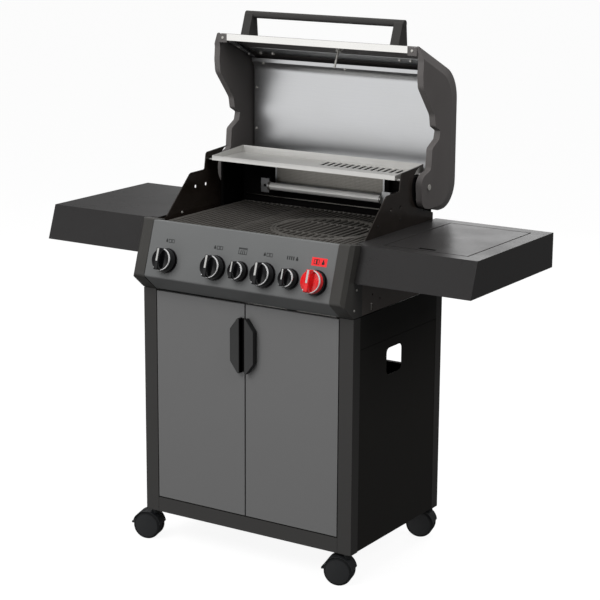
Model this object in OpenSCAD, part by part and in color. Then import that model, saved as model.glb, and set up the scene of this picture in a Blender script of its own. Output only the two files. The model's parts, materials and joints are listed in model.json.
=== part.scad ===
// Gas barbecue grill on a closed cart: open hood, two doors, two side shelves
// and a side burner.  Millimetres, +Z up, +X to the cook's right, -Y to the cook.
// Heights are above the ground.  Depths are measured back from the cart's front
// face, and row_place() moves the whole grill so that its box is centred on X and Y.

/* [Cart] */
// Width of the cart over its side faces
cart_w = 682; // [660:1:700]
// Depth of the cart over its front and back faces
cart_d = 479; // [470:1:490]
// Height of the cart's underside
cart_bottom = 89; // [86:1:90]
// Height of the cart's top edge
cart_top = 740; // [740:1:741]
// Width of a front post's face
post_w = 43; // [40:1:48]
// Depth of a front post
post_d = 35; // [34:1:38]
// Sheet thickness of the cart's panels
sheet = 1.5; // [1:0.1:2]
// Width of the cut-out in a side panel
grip_w = 80; // [60:1:110]
// Height of the cut-out in a side panel
grip_h = 74; // [50:1:90]

/* [Doors] */
// Height of the doors' lower edge
door_bottom = 135.5; // [134:0.5:150]
// Height of the doors' upper edge
door_top = 735; // [700:1:736]
// Depth of a door's folded edge
door_t = 18; // [15:1:22]
// Height of a door pull
pull_h = 154; // [100:1:200]
// How far a door pull stands out
pull_out = 18; // [12:1:22]

/* [Control panel] */
// Lean of the panel's face from upright, in degrees
panel_tilt = 18; // [17:0.5:19]
// Spacing of the knob positions
knob_pitch = 80; // [76:1:82]
// Radius of a large knob
knob_big_r = 32; // [28:0.5:33]
// Radius of a small knob
knob_small_r = 25.5; // [22:0.5:27]
// How far a knob can be pushed in
knob_push = 3; // [2:0.5:3]

/* [Firebox] */
// Height of the cooking surface
grate_top = 925; // [922:1:926]
// Spacing of the grate bars
bar_pitch = 16; // [14:1:20]
// Width of a grate bar
bar_w = 8; // [6:0.5:9]
// Spacing of the bars of the lift-out round grate
insert_pitch = 20; // [16:1:24]
// Radius of the lift-out round grate
insert_r = 140; // [110:1:145]

/* [Shelves] */
// Height of the shelves' top face
shelf_top = 932; // [930:1:932]
// Height of a shelf's edge
shelf_h = 95; // [80:1:100]
// Distance from the centre to a shelf's outer edge
shelf_x = 680; // [670:1:700]

/* [Casters] */
// Radius of a caster's wheels
wheel_r = 40; // [37:0.5:40]
// Trail of a caster's wheels behind its stem
trail = 22; // [18:1:24]

/* [Hidden] */
$fn = 48;

half_w = cart_w / 2;
post_x = half_w - post_w;
rear_post = 33;
rail_z = 652;

// Panel face: top edge, lean direction and the line that the knobs sit on
face_top = [-5, 936];
face_len = 157;
face_low = face_top + face_len * [-sin(panel_tilt), -cos(panel_tilt)];
knob_down = 107.5;
knob_at = face_top + knob_down * [-sin(panel_tilt), -cos(panel_tilt)];
fascia_t = 1.5;
KNOB_X = [for (step = [-3, -1, 0, 1, 2, 3]) 8 + knob_pitch * step];
KNOB_BIG = [true, true, false, true, false, true];
knob_red = "firebrick";
knob_lift = 6;
knob_big_h = 48;
knob_small_h = 43;
knob_big_face = 30;
knob_small_face = 26;
crest_cut = 2.5;

// Firebox and hood
box_x = 317;
plate_x = 318.5;
plate_t = 3;
box_front = 24;
box_back = 448;
pivot = [387, 1032];
pivot_r = 5;
pivot_gap = 0.05;
hood_x = 322.5;
skin_t = 2;
HOOD_PATH = [[352, 1415, 0], [566, 1318, 100], [566, 954, 75], [470, 954, 0]];
LINER_PATH = [[496.5, 1334, 0], [498, 1323, 2], [512, 1309, 40], [512, 976, 30], [478, 970, 0]];
liner_x = 316;
liner_gap = 0.05;
rim_x = 294;
probe_at = [40, 404];
probe_r = 3;

// Middle of the grill's box, from the largest knob's crest to the back of the open hood
knob_front = knob_at[0] - knob_big_h * cos(panel_tilt) - (knob_big_r - crest_cut) * sin(panel_tilt);
y_centre = (knob_front + HOOD_PATH[1][0]) / 2;

// Side burner
well = [[386, 66], [635, 432]];
lid = [[391, 71], [630, 425.5]];
lid_hinge = [419, 925];

// Doors
door_edge = half_w - post_w - 2.5;
door_pin = [door_edge - 5, 5];
pin_r = 2.5;

CASTERS = [[-1, 0], [1, 0], [-1, 1], [1, 1]];
caster_turn = 195;

// Unit vector, and one rounded corner as points
function unit(v) = v / norm(v);
function corner(a, b, c, r, n) =
    let (u = unit(a - b), v = unit(c - b), half = acos(u * v) / 2)
    let (centre = b + unit(u + v) * r / sin(half), s = r / tan(half))
    let (p = b + u * s - centre, q = b + v * s - centre)
    let (a0 = atan2(p[1], p[0]), turn = atan2(q[1], q[0]) - a0)
    let (sweep = turn > 180 ? turn - 360 : turn < -180 ? turn + 360 : turn)
    [for (i = [0:n]) centre + r * [cos(a0 + sweep * i / n), sin(a0 + sweep * i / n)]];

// Outline from corners given as [x, y, radius]
function xy(p) = [p[0], p[1]];
function smooth(path, n = 8) = [for (i = [0:len(path) - 1])
    let (k = len(path), prev = path[(i + k - 1) % k], next = path[(i + 1) % k])
    each path[i][2] > 0 ? corner(xy(prev), xy(path[i]), xy(next), path[i][2], n) : [xy(path[i])]];

// Open path moved sideways by d, to the right of its direction
function side(path, i) = let (d = unit(xy(path[i + 1]) - xy(path[i]))) [d[1], -d[0]];
function shifted(path, d) = [for (i = [0:len(path) - 1])
    let (last = len(path) - 1, a = side(path, max(i - 1, 0)), b = side(path, min(i, last - 1)))
    let (p = xy(path[i]) + d * (a + b) / (1 + a * b), turn = a[0] * b[1] - a[1] * b[0])
    [p[0], p[1], path[i][2] > 0 ? path[i][2] + (turn > 0 ? d : -d) : 0]];
function reversed(list) = [for (i = [len(list) - 1:-1:0]) list[i]];
function strip(path, d0, d1, n = 8) =
    concat(smooth(shifted(path, d0), n), reversed(smooth(shifted(path, d1), n)));

module row_place() {
    translate([0, -y_centre, 0])
        children();
}

// A depth-and-height outline, extruded from x0 to x1
module along_x(x0, x1) {
    translate([x0, 0, 0])
        rotate([90, 0, 90])
            linear_extrude(x1 - x0)
                children();
}

module block(low, high) {
    translate(low)
        cube(high - low);
}

module rod_x(x0, x1, at, r) {
    translate([x0, at[0], at[1]])
        rotate([0, 90, 0])
            cylinder(h = x1 - x0, r = r);
}

module rod_y(y0, y1, x, z, r) {
    translate([x, y0, z])
        rotate([-90, 0, 0])
            cylinder(h = y1 - y0, r = r);
}

module both_sides() {
    children();
    mirror([1, 0, 0])
        children();
}

// Place on the panel face at knob position i, +Z pointing out of the face
module on_face(x, at) {
    translate([x, at[0], at[1]])
        rotate([90 - panel_tilt, 0, 0])
            children();
}

// ---------- cart ----------

module floor_panel() {
    color("#3a3a39")
    row_place() {
        front_flange = 43;
        lip = 12;
        block([-post_x, 0, cart_bottom], [post_x, cart_d - 2, cart_bottom + 2]);
        block([-half_w + 3, post_d, cart_bottom], [half_w - 3, cart_d - rear_post, cart_bottom + 2]);
        block([-post_x, 0, cart_bottom], [post_x, sheet, cart_bottom + front_flange]);
        block([-post_x, 0, cart_bottom + front_flange - sheet], [post_x, lip, cart_bottom + front_flange]);
    }
}

module post(w, d) {
    wall = 2;
    difference() {
        cube([w, d, cart_top - cart_bottom]);
        translate([wall, wall, -1])
            cube([w - 2 * wall, d - 2 * wall, cart_top - cart_bottom + 2]);
    }
}

module corner_posts() {
    color("#3a3a39")
    row_place()
        both_sides() {
            translate([post_x, 0, cart_bottom])
                post(post_w, post_d);
            translate([half_w - post_d, cart_d - rear_post, cart_bottom])
                post(post_d, rear_post);
        }
}

module side_panel() {
    grip_y = 216;
    grip_z = 587;
    grip_r = 14;
    edge = half_w - 1;
    cut = [[-grip_w / 2, -grip_h / 2, grip_r], [grip_w / 2, -grip_h / 2, grip_r],
        [grip_w / 2, grip_h / 2, grip_r], [-grip_w / 2, grip_h / 2, grip_r]];
    difference() {
        block([edge - sheet, post_d, cart_bottom + 2], [edge, cart_d - rear_post, rail_z - 2]);
        along_x(edge - 10, edge + 10)
            translate([grip_y, grip_z])
                polygon(smooth(cut));
    }
    block([edge - sheet, post_d, rail_z], [half_w, cart_d - rear_post, cart_top]);
    block([edge - 2 * sheet, post_d, rail_z - 14], [edge - sheet, cart_d - rear_post, rail_z + sheet]);
    block([edge - 14, post_d, rail_z], [edge - sheet, cart_d - rear_post, rail_z + sheet]);
    block([edge - 14, post_d, cart_top - sheet], [edge - sheet, cart_d - rear_post, cart_top]);
}

module side_panel_left() {
    color("#2b2b2b")
    row_place()
        mirror([1, 0, 0])
            side_panel();
}

module side_panel_right() {
    color("#2b2b2b")
    row_place()
        side_panel();
}

module back_panel() {
    color("#2b2b2b")
    row_place() {
        top = 499;
        rail = 706;
        inner = half_w - post_d;
        block([-inner, cart_d - 2, cart_bottom + 2], [inner, cart_d - 0.5, top]);
        block([-inner, cart_d - 14, top - sheet], [inner, cart_d - 2, top]);
        block([-inner, cart_d - 2, rail], [inner, cart_d - 0.5, cart_top]);
        block([-inner, cart_d - 16, cart_top - 2], [inner, cart_d - 2, cart_top]);
    }
}

module caster_sockets() {
    color("#1d1d1d")
    row_place()
        for (c = CASTERS)
            translate(stem_place(c))
                difference() {
                    union() {
                        translate([-15, -13.5, cart_bottom])
                            cube([30, 27, 30]);
                        translate([0, 0, cart_bottom - 3])
                            cylinder(h = 3, r = 14);
                    }
                    translate([0, 0, cart_bottom - 4])
                        cylinder(h = 40, r = stem_r + 0.05);
                }
}

// ---------- casters ----------

stem_r = 5.5;
web = 4;
shell_r = 42.5;
shell_t = 1.5;
wheel_out = 22;

function stem_place(c) = [c[0] * (half_w - (c[1] == 0 ? 20 : 18)), c[1] == 0 ? 17.5 : cart_d - 17.5, 0];

// Caster frame: stem at the origin, wheels trailing towards local +X, axle along local Y
module at_caster(i) {
    row_place()
        translate(stem_place(CASTERS[i]))
            rotate([0, 0, caster_turn])
                children();
}

module ring_sector(r0, r1, w, a0, a1) {
    steps = 16;
    outer = [for (i = [0:steps]) let (a = a0 + (a1 - a0) * i / steps) r1 * [cos(a), sin(a)]];
    inner = [for (i = [steps:-1:0]) let (a = a0 + (a1 - a0) * i / steps) r0 * [cos(a), sin(a)]];
    rotate([90, 0, 0])
        translate([0, 0, -w / 2])
            linear_extrude(w)
                polygon(concat(outer, inner));
}

module caster_fork(i, braked) {
    neck_z = 76;
    color("#2a2b2c")
    at_caster(i) {
        hood_end = braked ? 22 : 6;
        difference() {
            union() {
                translate([trail, 0, wheel_r])
                    rotate([90, 0, 0])
                        translate([0, 0, -web])
                            cylinder(h = 2 * web, r = wheel_r - 1.5);
                translate([trail, 0, wheel_r])
                    ring_sector(shell_r - shell_t, shell_r, 2 * wheel_out + 3, hood_end, 172);
                translate([0, 0, 66])
                    cylinder(h = cart_bottom - 3.5 - 66, r = web);
                translate([0, 0, neck_z])
                    cylinder(h = cart_bottom - 3.5 - neck_z, r = 11);
                block([-web, -web, 60], [trail, web, neck_z + 3]);
                translate([0, 0, neck_z])
                    cylinder(h = cart_bottom + 24 - neck_z, r = stem_r);
            }
            translate([trail, 0, wheel_r])
                rotate([90, 0, 0])
                    translate([0, 0, -10])
                        cylinder(h = 20, r = 3.05);
            block([-20, -30, -1], [20, 30, 30]);
            wheel_space();
            if (braked)
                brake_space();
        }
    }
}

// Room inside the fork that the two wheels turn in
module wheel_space() {
    for (m = [0, 1])
        mirror([0, m, 0])
            rod_y(web + 0.5, wheel_out + 0.8, trail, wheel_r, wheel_r + 0.8);
}

module brake_space() {
    translate([trail + 21, -10, wheel_r - 9])
        cube([40, 20, 24]);
}

module caster_wheels(i) {
    color("#232426")
    at_caster(i)
        translate([trail, 0, wheel_r])
            rotate([90, 0, 0]) {
                tread = [[web + 1, 0], [web + 1, wheel_r - 2], [web + 3, wheel_r], [wheel_out - 4, wheel_r],
                    [wheel_out - 1, wheel_r - 3], [wheel_out, wheel_r - 8], [wheel_out - 1, 0]];
                outline = [for (p = tread) [p[1], p[0]]];
                for (m = [0, 1])
                    mirror([0, 0, m])
                        rotate_extrude()
                            polygon(outline);
                translate([0, 0, -web - 2])
                    cylinder(h = 2 * web + 4, r = 3);
            }
}

module brake_lever(i) {
    color("#1a1a1a")
    at_caster(i)
        translate([trail + 28, 0, wheel_r + 3]) {
            difference() {
                union() {
                    rotate([90, 0, 0])
                        translate([0, 0, -3])
                            cylinder(h = 6, r = 5);
                    block([0, -3, -3], [18, 3, 3]);
                    block([14, -12, -2.5], [21, 12, 2.5]);
                }
                rotate([90, 0, 0])
                    translate([0, 0, -10])
                        cylinder(h = 20, r = 2.05);
            }
        }
}

// ---------- doors ----------

module door() {
    block_w = 12;
    difference() {
        block([2, 0, door_bottom], [door_edge, door_t, door_top]);
        block([2 + sheet, sheet, door_bottom + sheet], [door_edge - sheet, door_t + 1, door_top - sheet]);
        translate([door_pin[0], door_pin[1], door_bottom - 1])
            cylinder(h = door_top - door_bottom + 2, r = pin_r + 0.05);
    }
    for (z = [door_bottom, door_top - 20])
        difference() {
            block([door_edge - block_w, sheet, z], [door_edge - sheet, block_w, z + 20]);
            translate([door_pin[0], door_pin[1], z - 1])
                cylinder(h = 22, r = pin_r + 0.05);
        }
}

module door_left() {
    color("#717171")
    row_place()
        mirror([1, 0, 0])
            door();
}

module door_right() {
    color("#717171")
    row_place()
        door();
}

// Half of the long eight-sided grip: hollow, open towards the gap between the doors
module door_pull() {
    mid = (pull_z0 + pull_z1) / 2;
    outline = [[8, -pull_h / 2, 0], [14, -pull_h / 2, 0], [38.5, -pull_h / 2 + 32, 5],
        [38.5, pull_h / 2 - 32, 5], [14, pull_h / 2, 0], [8, pull_h / 2, 0]];
    inner = [[7, -pull_h / 2 + 4, 0], [13, -pull_h / 2 + 4, 0], [34.5, -pull_h / 2 + 34, 3],
        [34.5, pull_h / 2 - 34, 3], [13, pull_h / 2 - 4, 0], [7, pull_h / 2 - 4, 0]];
    translate([0, 0, mid])
        rotate([90, 0, 0])
            difference() {
                linear_extrude(pull_out)
                    polygon(smooth(outline));
                translate([0, 0, -1])
                    linear_extrude(pull_out - 2.5)
                        polygon(smooth(inner));
            }
}

pull_z0 = 622 - pull_h / 2;
pull_z1 = 622 + pull_h / 2;

module door_pull_left() {
    color("#161616")
    row_place()
        mirror([1, 0, 0])
            door_pull();
}

module door_pull_right() {
    color("#161616")
    row_place()
        door_pull();
}

// Door pins, hood pivots and side burner lid pins, all fixed to the grill
module hinge_pins() {
    color("silver")
    row_place() {
        both_sides() {
            translate([door_pin[0], door_pin[1], cart_bottom + 43])
                cylinder(h = 18, r = pin_r);
            translate([door_pin[0], door_pin[1], door_top - 15])
                cylinder(h = 20, r = pin_r);
            block([door_pin[0] - 5, 2, cart_top - sheet], [post_x, 14, cart_top]);
            rod_x(box_x + 0.5, half_w + 0.5, pivot, pivot_r);
            rod_x(half_w + 0.5, half_w + 3, pivot, 8);
        }
        rod_x(well[0][0] + sheet, lid[0][0] + 3, lid_hinge, pin_r);
        rod_x(lid[1][0] - 3, well[1][0] - sheet, lid_hinge, pin_r);
    }
}

// ---------- firebox ----------

BURNER_X = [-232, -72, 88];
burner_z = 835;
sear_x = 235;

module firebox() {
    wall = 2;
    lip = 800;
    slot = [205, 263];
    low = 752;
    ledge = 912;
    back_top = 1055;
    tub = [[box_front, 915], [box_back, 915], [box_back, lip], [slot[1], low], [slot[0], low],
        [box_front, lip]];
    color("#1c1b1b")
    row_place() {
        difference() {
            union() {
                along_x(-box_x, box_x)
                    polygon(strip([[box_front, 915, 0], [box_front, lip, 0], [slot[0], low, 0]], 0, -wall));
                along_x(-box_x, box_x)
                    polygon(strip([[box_back, back_top, 0], [box_back, lip, 0], [slot[1], low, 0]], 0, wall));
                both_sides() {
                    along_x(box_x - wall, box_x)
                        polygon(tub);
                    block([60, slot[0] - 1, low], [box_x, slot[1] + 1, low + wall]);
                }
                block([-box_x, box_front, ledge - 3], [box_x, box_front + 18, ledge]);
                block([-box_x, box_back - 20, ledge - 3], [box_x, box_back, ledge]);
            }
            for (x = concat(BURNER_X, [sear_x]))
                rod_y(box_front - 5, box_front + 20, x, burner_z, 13);
        }
        both_sides()
            difference() {
                block([box_x - 8, 340, ledge], [box_x, box_back - wall, 1063]);
                rod_x(box_x - 9, box_x + 1, pivot, 3);
            }
    }
}

module side_plates() {
    low = 780;
    outline = [[43, low, 0], [43, 926, 3], [80, 928, 12], [193, 1035, 20], [262, 1036, 5], [270, 1084, 10],
        [387, 1092, 0], [387, 1000, 0], [364, 978, 0], [450, 951, 0], [450, low, 0]];
    color("#332d2b")
    row_place()
        both_sides() {
            difference() {
                along_x(plate_x, plate_x + plate_t)
                    polygon(smooth(outline));
                rod_x(plate_x - 1, plate_x + plate_t + 1, pivot, 60);
                for (y = [218, 268])
                    rod_x(plate_x - 1, plate_x + plate_t + 1, [y, 993], 5);
            }
            rod_x(300, plate_x, [287, 1060], 3);
        }
}

module shelf_brackets() {
    x0 = half_w - 3;
    x1 = half_w - 0.5;
    color("#383735")
    row_place()
        both_sides() {
            difference() {
                block([x0, 42, cart_top + 2], [x1, 470, shelf_top - 2]);
                for (p = [[95, 790], [134, 772]])
                    rod_x(x0 - 1, x1 + 1, p, 3);
                block([x0 - 1, 87, 747], [x1 + 1, 97, 767]);
            }
            block([plate_x + plate_t, 42, cart_top + 2], [x0, 44, shelf_top - 2]);
            block([plate_x + plate_t, 468, 780], [x0, 470, shelf_top - 2]);
        }
}

// One cast grate: a frame, bars that run front to back, and cross ribs below them
module grate(x0, x1, y0, y1) {
    edge = 9;
    depth = 12;
    z0 = grate_top - depth;
    count = floor((x1 - x0 - edge) / bar_pitch);
    first = (x0 + x1) / 2 - (count - 1) / 2 * bar_pitch;
    block([x0, y0, z0], [x1, y0 + edge, grate_top]);
    block([x0, y1 - edge, z0], [x1, y1, grate_top]);
    block([x0, y0, z0], [x0 + edge, y1, grate_top]);
    block([x1 - edge, y0, z0], [x1, y1, grate_top]);
    for (i = [0:count - 1])
        translate([first + i * bar_pitch - bar_w / 2, y0 + 1, z0 + 4])
            cube([bar_w, y1 - y0 - 2, depth - 4]);
    for (k = [1, 2])
        block([x0 + 1, y0 + k * (y1 - y0) / 3 - 4, z0], [x1 - 1, y0 + k * (y1 - y0) / 3 + 4, grate_top - 4]);
}

grate_y = [30, 436];
insert_at = [122, 205];

module grate_left() {
    color("#2c2b2a")
    row_place()
        grate(-298, -78, grate_y[0], grate_y[1]);
}

module grate_right() {
    rim = 9;
    color("#2c2b2a")
    row_place() {
        difference() {
            grate(-75, 298, grate_y[0], grate_y[1]);
            translate([insert_at[0], insert_at[1], grate_top - 20])
                cylinder(h = 40, r = insert_r + 2);
        }
        translate([insert_at[0], insert_at[1], grate_top - 12])
            difference() {
                cylinder(h = 12, r = insert_r + rim);
                translate([0, 0, 4])
                    cylinder(h = 20, r = insert_r + 1);
                translate([0, 0, -1])
                    cylinder(h = 20, r = insert_r - 8);
            }
    }
}

module grate_insert() {
    depth = 7.5;
    count = floor(2 * (insert_r - 6) / insert_pitch);
    color("#2c2b2a")
    row_place()
        translate([insert_at[0], insert_at[1], grate_top - depth]) {
            difference() {
                cylinder(h = depth, r = insert_r);
                translate([0, 0, -1])
                    cylinder(h = depth + 2, r = insert_r - 8);
            }
            intersection() {
                cylinder(h = depth, r = insert_r - 4);
                union() {
                    for (i = [0:count])
                        translate([(i - count / 2) * insert_pitch - bar_w / 2, -insert_r, 0])
                            cube([bar_w, 2 * insert_r, depth]);
                    for (y = [-70, 70])
                        translate([-insert_r, y - 4, 0])
                            cube([2 * insert_r, 8, depth - 2]);
                }
            }
        }
}

module warming_rack() {
    x = 300;
    y0 = 272;
    y1 = 428;
    z = 1063;
    slots = 13;
    color("silver")
    row_place() {
        difference() {
            block([-x, y0, z + 3], [x, y1, z + 4.5]);
            for (i = [0:slots - 1])
                translate([12 + i * 20, 352, z])
                    rotate([0, 0, 8])
                        cube([10, 62, 10]);
        }
        block([-x, y0, z], [x, y0 + sheet, z + 13]);
        block([-x, y1 - sheet, z + 3], [x, y1, z + 24]);
        both_sides() {
            along_x(x - sheet, x)
                polygon([[y0, z], [y0, z + 13], [y1, z + 24], [y1, z]]);
            block([x, 280, z], [x + 17, 294, z + 2]);
            block([x, 396, z], [x + 16.5, 410, z + 2]);
        }
    }
}

module flame_tamers() {
    profile = [[-34, 862, 0], [0, 884, 4], [34, 862, 0]];
    color("#8a8783")
    row_place() {
        for (x = [-232, -152, -72, 8, 88])
            translate([x, 56, 0])
                rotate([90, 0, 0])
                    mirror([0, 0, 1])
                        linear_extrude(360)
                            polygon(strip(profile, 0, 1.5));
        for (y = [54, 416])
            block([-270, y - 6, 858], [130, y + 6, 862]);
    }
}

module main_burners() {
    color("#a19c94")
    row_place() {
        for (x = BURNER_X)
            difference() {
                union() {
                    rod_y(12, 80, x, burner_z, 10);
                    rod_y(76, 418, x, burner_z, 17);
                    rod_y(418, box_back - 2, x, burner_z, 5);
                }
                rod_y(10, 60, x, burner_z, 8.5);
            }
        difference() {
            union() {
                rod_y(12, 100, sear_x, burner_z, 10);
                block([170, 96, 815], [300, 330, 862]);
                block([228, 330, 825], [242, box_back - 2, 845]);
            }
            rod_y(10, 60, sear_x, burner_z, 8.5);
            block([176, 102, 858], [294, 324, 870]);
        }
    }
}

module back_burner() {
    x = 190;
    guard = [400, 981];
    color("#b9b7b2")
    row_place() {
        block([-x, 431, 985], [x, box_back - 2, 1050]);
        block([-184, 429.5, 988], [173, 431, 1046]);
        rod_x(-188, 188, guard, 11);
        both_sides() {
            block([188, 396, 962], [215, 398.5, 1003]);
            block([212.5, 398.5, 975], [215, box_back - 2, 1000]);
        }
    }
}

module grease_tray() {
    x = 190;
    z = 672;
    y = [60, 455];
    color("#8d8b88")
    row_place() {
        difference() {
            block([-x, y[0], z], [x, y[1], z + 28]);
            block([-x + 1.5, y[0] + 1.5, z + 1.5], [x - 1.5, y[1] - 1.5, z + 40]);
            translate([0, 240, z - 1])
                cylinder(h = 5, r = 20);
        }
        both_sides()
            block([x, y[0], z + 26], [x + 12, y[1], z + 28]);
    }
}

module drip_cup() {
    color("#a9a7a3")
    row_place() {
        translate([0, 240, 0]) {
            difference() {
                translate([0, 0, 622])
                    cylinder(h = 50, r = 42);
                translate([0, 0, 623.5])
                    cylinder(h = 60, r = 40.5);
            }
            both_sides()
                block([40, -8, 668], [56, 8, 671.9]);
        }
    }
}

// ---------- control panel and gas ----------

PANEL_PATH = [[22, 931, 0], [face_top[0], face_top[1], 4], [face_low[0], face_low[1], 8], [0, 741.5, 0]];

module control_panel() {
    color("#7b7d7d")
    row_place()
        difference() {
            along_x(-post_x, post_x)
                polygon(strip(PANEL_PATH, 0, -fascia_t));
            for (x = KNOB_X)
                on_face(x, knob_at)
                    translate([0, 0, -10])
                        cylinder(h = 20, r = 6);
        }
}

module panel_end_caps() {
    back = 42;
    proud = 2;
    path = [[back, 929, 0], [face_top[0], face_top[1], 5], [face_low[0], face_low[1], 14], [-2, 741.5, 0],
        [back, 741.5, 0]];
    outer = shifted([path[0], path[1], path[2], path[3]], proud);
    solid_outline = smooth([[back, 930, 0], outer[1], outer[2], [-2, 741.5, 3], [back, 741.5, 0]]);
    wall = 2.5;
    color("#333333")
    row_place()
        both_sides()
            difference() {
                intersection() {
                    along_x(post_x, half_w)
                        polygon(solid_outline);
                    on_face(0, knob_at)
                        translate([0, 0, -150])
                            linear_extrude(152 + proud)
                                polygon([[200, -80], [half_w, -80], [half_w, 140], [200, 140]]);
                    translate([0, knob_at[0], knob_at[1]])
                        rotate([-panel_tilt, 0, 0])
                            translate([0, 0, -120])
                                linear_extrude(300)
                                    polygon([[200, -proud], [half_w - 11, -proud - 0.5], [half_w, 9],
                                        [half_w, 160], [200, 160]]);
                }
                along_x(post_x - 1, half_w - wall)
                    polygon([[back + 1, 925], [4, 930], [face_low[0] + 9, face_low[1] + 2], [2, 746],
                        [back + 1, 746]]);
            }
}

module knob_bezels() {
    color("#141414")
    row_place()
        for (i = [0:5])
            on_face(KNOB_X[i], knob_at) {
                r = KNOB_BIG[i] ? knob_big_r : knob_small_r;
                translate([0, 0, 0.02])
                    rotate_extrude()
                        polygon([[7, 0], [r + 3, 0], [r + 2, 2.4], [7, 2.4]]);
            }
}

module spindle(i) {
    color("silver")
    row_place()
        on_face(KNOB_X[i], knob_at)
            translate([0, 0, -14])
                cylinder(h = 14 + knob_lift + 14, r = 3);
}

// Knob: a skirt, a cap and a straight grip with an inlaid pointer
module knob(i) {
    big = KNOB_BIG[i];
    r = big ? knob_big_r : knob_small_r;
    h = big ? knob_big_h : knob_small_h;
    face = big ? knob_big_face : knob_small_face;
    grip = big ? 7 : 6;
    color(i == 5 ? knob_red : "#101010")
    row_place()
        on_face(KNOB_X[i], knob_at)
            difference() {
                union() {
                    rotate_extrude()
                        polygon([[0, knob_lift], [r, knob_lift], [r, face - 2], [r - 2, face], [0, face]]);
                    intersection() {
                        translate([-grip, -r, face - 4])
                            cube([2 * grip, 2 * r, h - face + 4]);
                        rotate_extrude()
                            polygon([[0, face - 4], [r - 0.5, face - 4], [r - 1, h - 3],
                                [r - crest_cut, h], [0, h]]);
                    }
                }
                translate([0, 0, knob_lift - 1])
                    cylinder(h = 1 + 14 + knob_push, r = 3.05);
            }
}

module gas_manifold() {
    pipe = [10, 796];
    inlet = [262, 746];
    color("#9b8f6d")
    row_place() {
        rod_x(-280, 285, pipe, 8);
        for (x = KNOB_X) {
            on_face(x, knob_at)
                translate([0, 0, -46])
                    difference() {
                        cylinder(h = 40, r = 11);
                        translate([0, 0, 26])
                            cylinder(h = 20, r = 3.05);
                    }
            translate([x, pipe[0], pipe[1]])
                cylinder(h = 22, r = 6);
        }
        for (x = concat(BURNER_X, [sear_x]))
            rod_y(-4, 16, x, burner_z, 4);
        translate([inlet[0], pipe[0], inlet[1] - 5])
            cylinder(h = pipe[1] - inlet[1] + 5, r = 5);
        rod_y(pipe[0], cart_d + 4, inlet[0], inlet[1], 5);
        rod_y(cart_d + 2, cart_d + 22, inlet[0], inlet[1], 7);
    }
}

// ---------- shelves ----------

module shelf_shell() {
    lean = 33;
    front = 31;
    back = 467;
    z0 = shelf_top - shelf_h;
    t = 1.5;
    difference() {
        along_x(half_w, shelf_x)
            polygon([[front, shelf_top], [front - lean, z0], [back, z0], [back, shelf_top]]);
        along_x(half_w + t, shelf_x - t)
            polygon([[front + t, shelf_top - 2], [front + t - lean, z0 + 2 - 4], [back - t, z0 - 2],
                [back - t, shelf_top - 2]]);
    }
    block([plate_x + plate_t, 42, shelf_top - 2], [half_w, back, shelf_top]);
}

module shelf_left() {
    color("#3f3f3f")
    row_place()
        mirror([1, 0, 0])
            shelf_shell();
}

module shelf_right() {
    gap = 3.5;
    color("#3f3f3f")
    row_place()
        difference() {
            shelf_shell();
            block([lid[0][0] - gap, lid[0][1] - gap, shelf_top - 10],
                [lid[1][0] + gap, lid[1][1] + 3.5, shelf_top + 5]);
        }
}

module side_burner() {
    floor_z = 866;
    mid = [510, 248];
    color("#6f6d6a")
    row_place() {
        difference() {
            block([well[0][0], well[0][1], floor_z], [well[1][0], well[1][1], shelf_top - 2]);
            block([well[0][0] + sheet, well[0][1] + sheet, floor_z + sheet],
                [well[1][0] - sheet, well[1][1] - sheet, shelf_top + 5]);
        }
        translate([mid[0], mid[1], floor_z]) {
            cylinder(h = 22, r = 34);
            cylinder(h = 28, r = 30);
        }
        translate([mid[0], mid[1], 900])
            difference() {
                cylinder(h = 5, r = 92);
                translate([0, 0, -1])
                    cylinder(h = 7, r = 87);
            }
        for (a = [45, 135, 225, 315])
            translate([mid[0], mid[1], 900])
                rotate([0, 0, a]) {
                    translate([40, -3, 0])
                        cube([52, 6, 9]);
                    translate([86, -4, floor_z - 900])
                        cube([6, 8, 36]);
                }
    }
}

module side_burner_lid() {
    skirt = 12;
    color("#414141")
    row_place()
        difference() {
            block([lid[0][0], lid[0][1], shelf_top - skirt], [lid[1][0], lid[1][1], shelf_top]);
            block([lid[0][0] + sheet, lid[0][1] + sheet, shelf_top - skirt - 1],
                [lid[1][0] - sheet, lid[1][1] - sheet, shelf_top - sheet]);
            block([480, 82, shelf_top - 5], [530, 95, shelf_top + 5]);
            rod_x(lid[0][0] - 1, lid[1][0] + 1, lid_hinge, pin_r + 0.05);
        }
}

// ---------- hood, drawn open ----------

// Height of the skin's outer face, and its slope, on the flat behind the rim
skin_slope = atan2(HOOD_PATH[0][1] - HOOD_PATH[1][1], HOOD_PATH[1][0] - HOOD_PATH[0][0]);
function skin_z(y) = HOOD_PATH[0][1] - (y - HOOD_PATH[0][0]) * tan(skin_slope);
function skin_in(y) = skin_z(y) - skin_t / cos(skin_slope);
function under_skin(y0, y1, d0, d1) =
    [for (p = [[y0, d0], [y1, d0], [y1, d1], [y0, d1]]) [p[0], skin_in(p[0]) + p[1]]];

module at_probe() {
    translate([probe_at[0], probe_at[1], skin_z(probe_at[1])])
        rotate([-skin_slope, 0, 0])
            children();
}

function cap_outline() = [[338, 1419, 3], [566, 1318, 100], [566, 954, 75], [470, 954, 40], [352, 980, 30],
    [346, 1062, 30], [398, 1078, 12], [403, 1136, 12], [440, 1157, 4], [446, 1180, 4], [419, 1194, 10],
    [413, 1226, 30], [347, 1305, 30], [343, 1340, 40], [346, 1376, 20]];

module hood_skin() {
    color("#474545")
    row_place()
        difference() {
            along_x(-hood_x, hood_x)
                polygon(strip(HOOD_PATH, 0, skin_t, 10));
            at_probe()
                translate([0, 0, -10])
                    cylinder(h = 20, r = probe_r + 1);
        }
}

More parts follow.
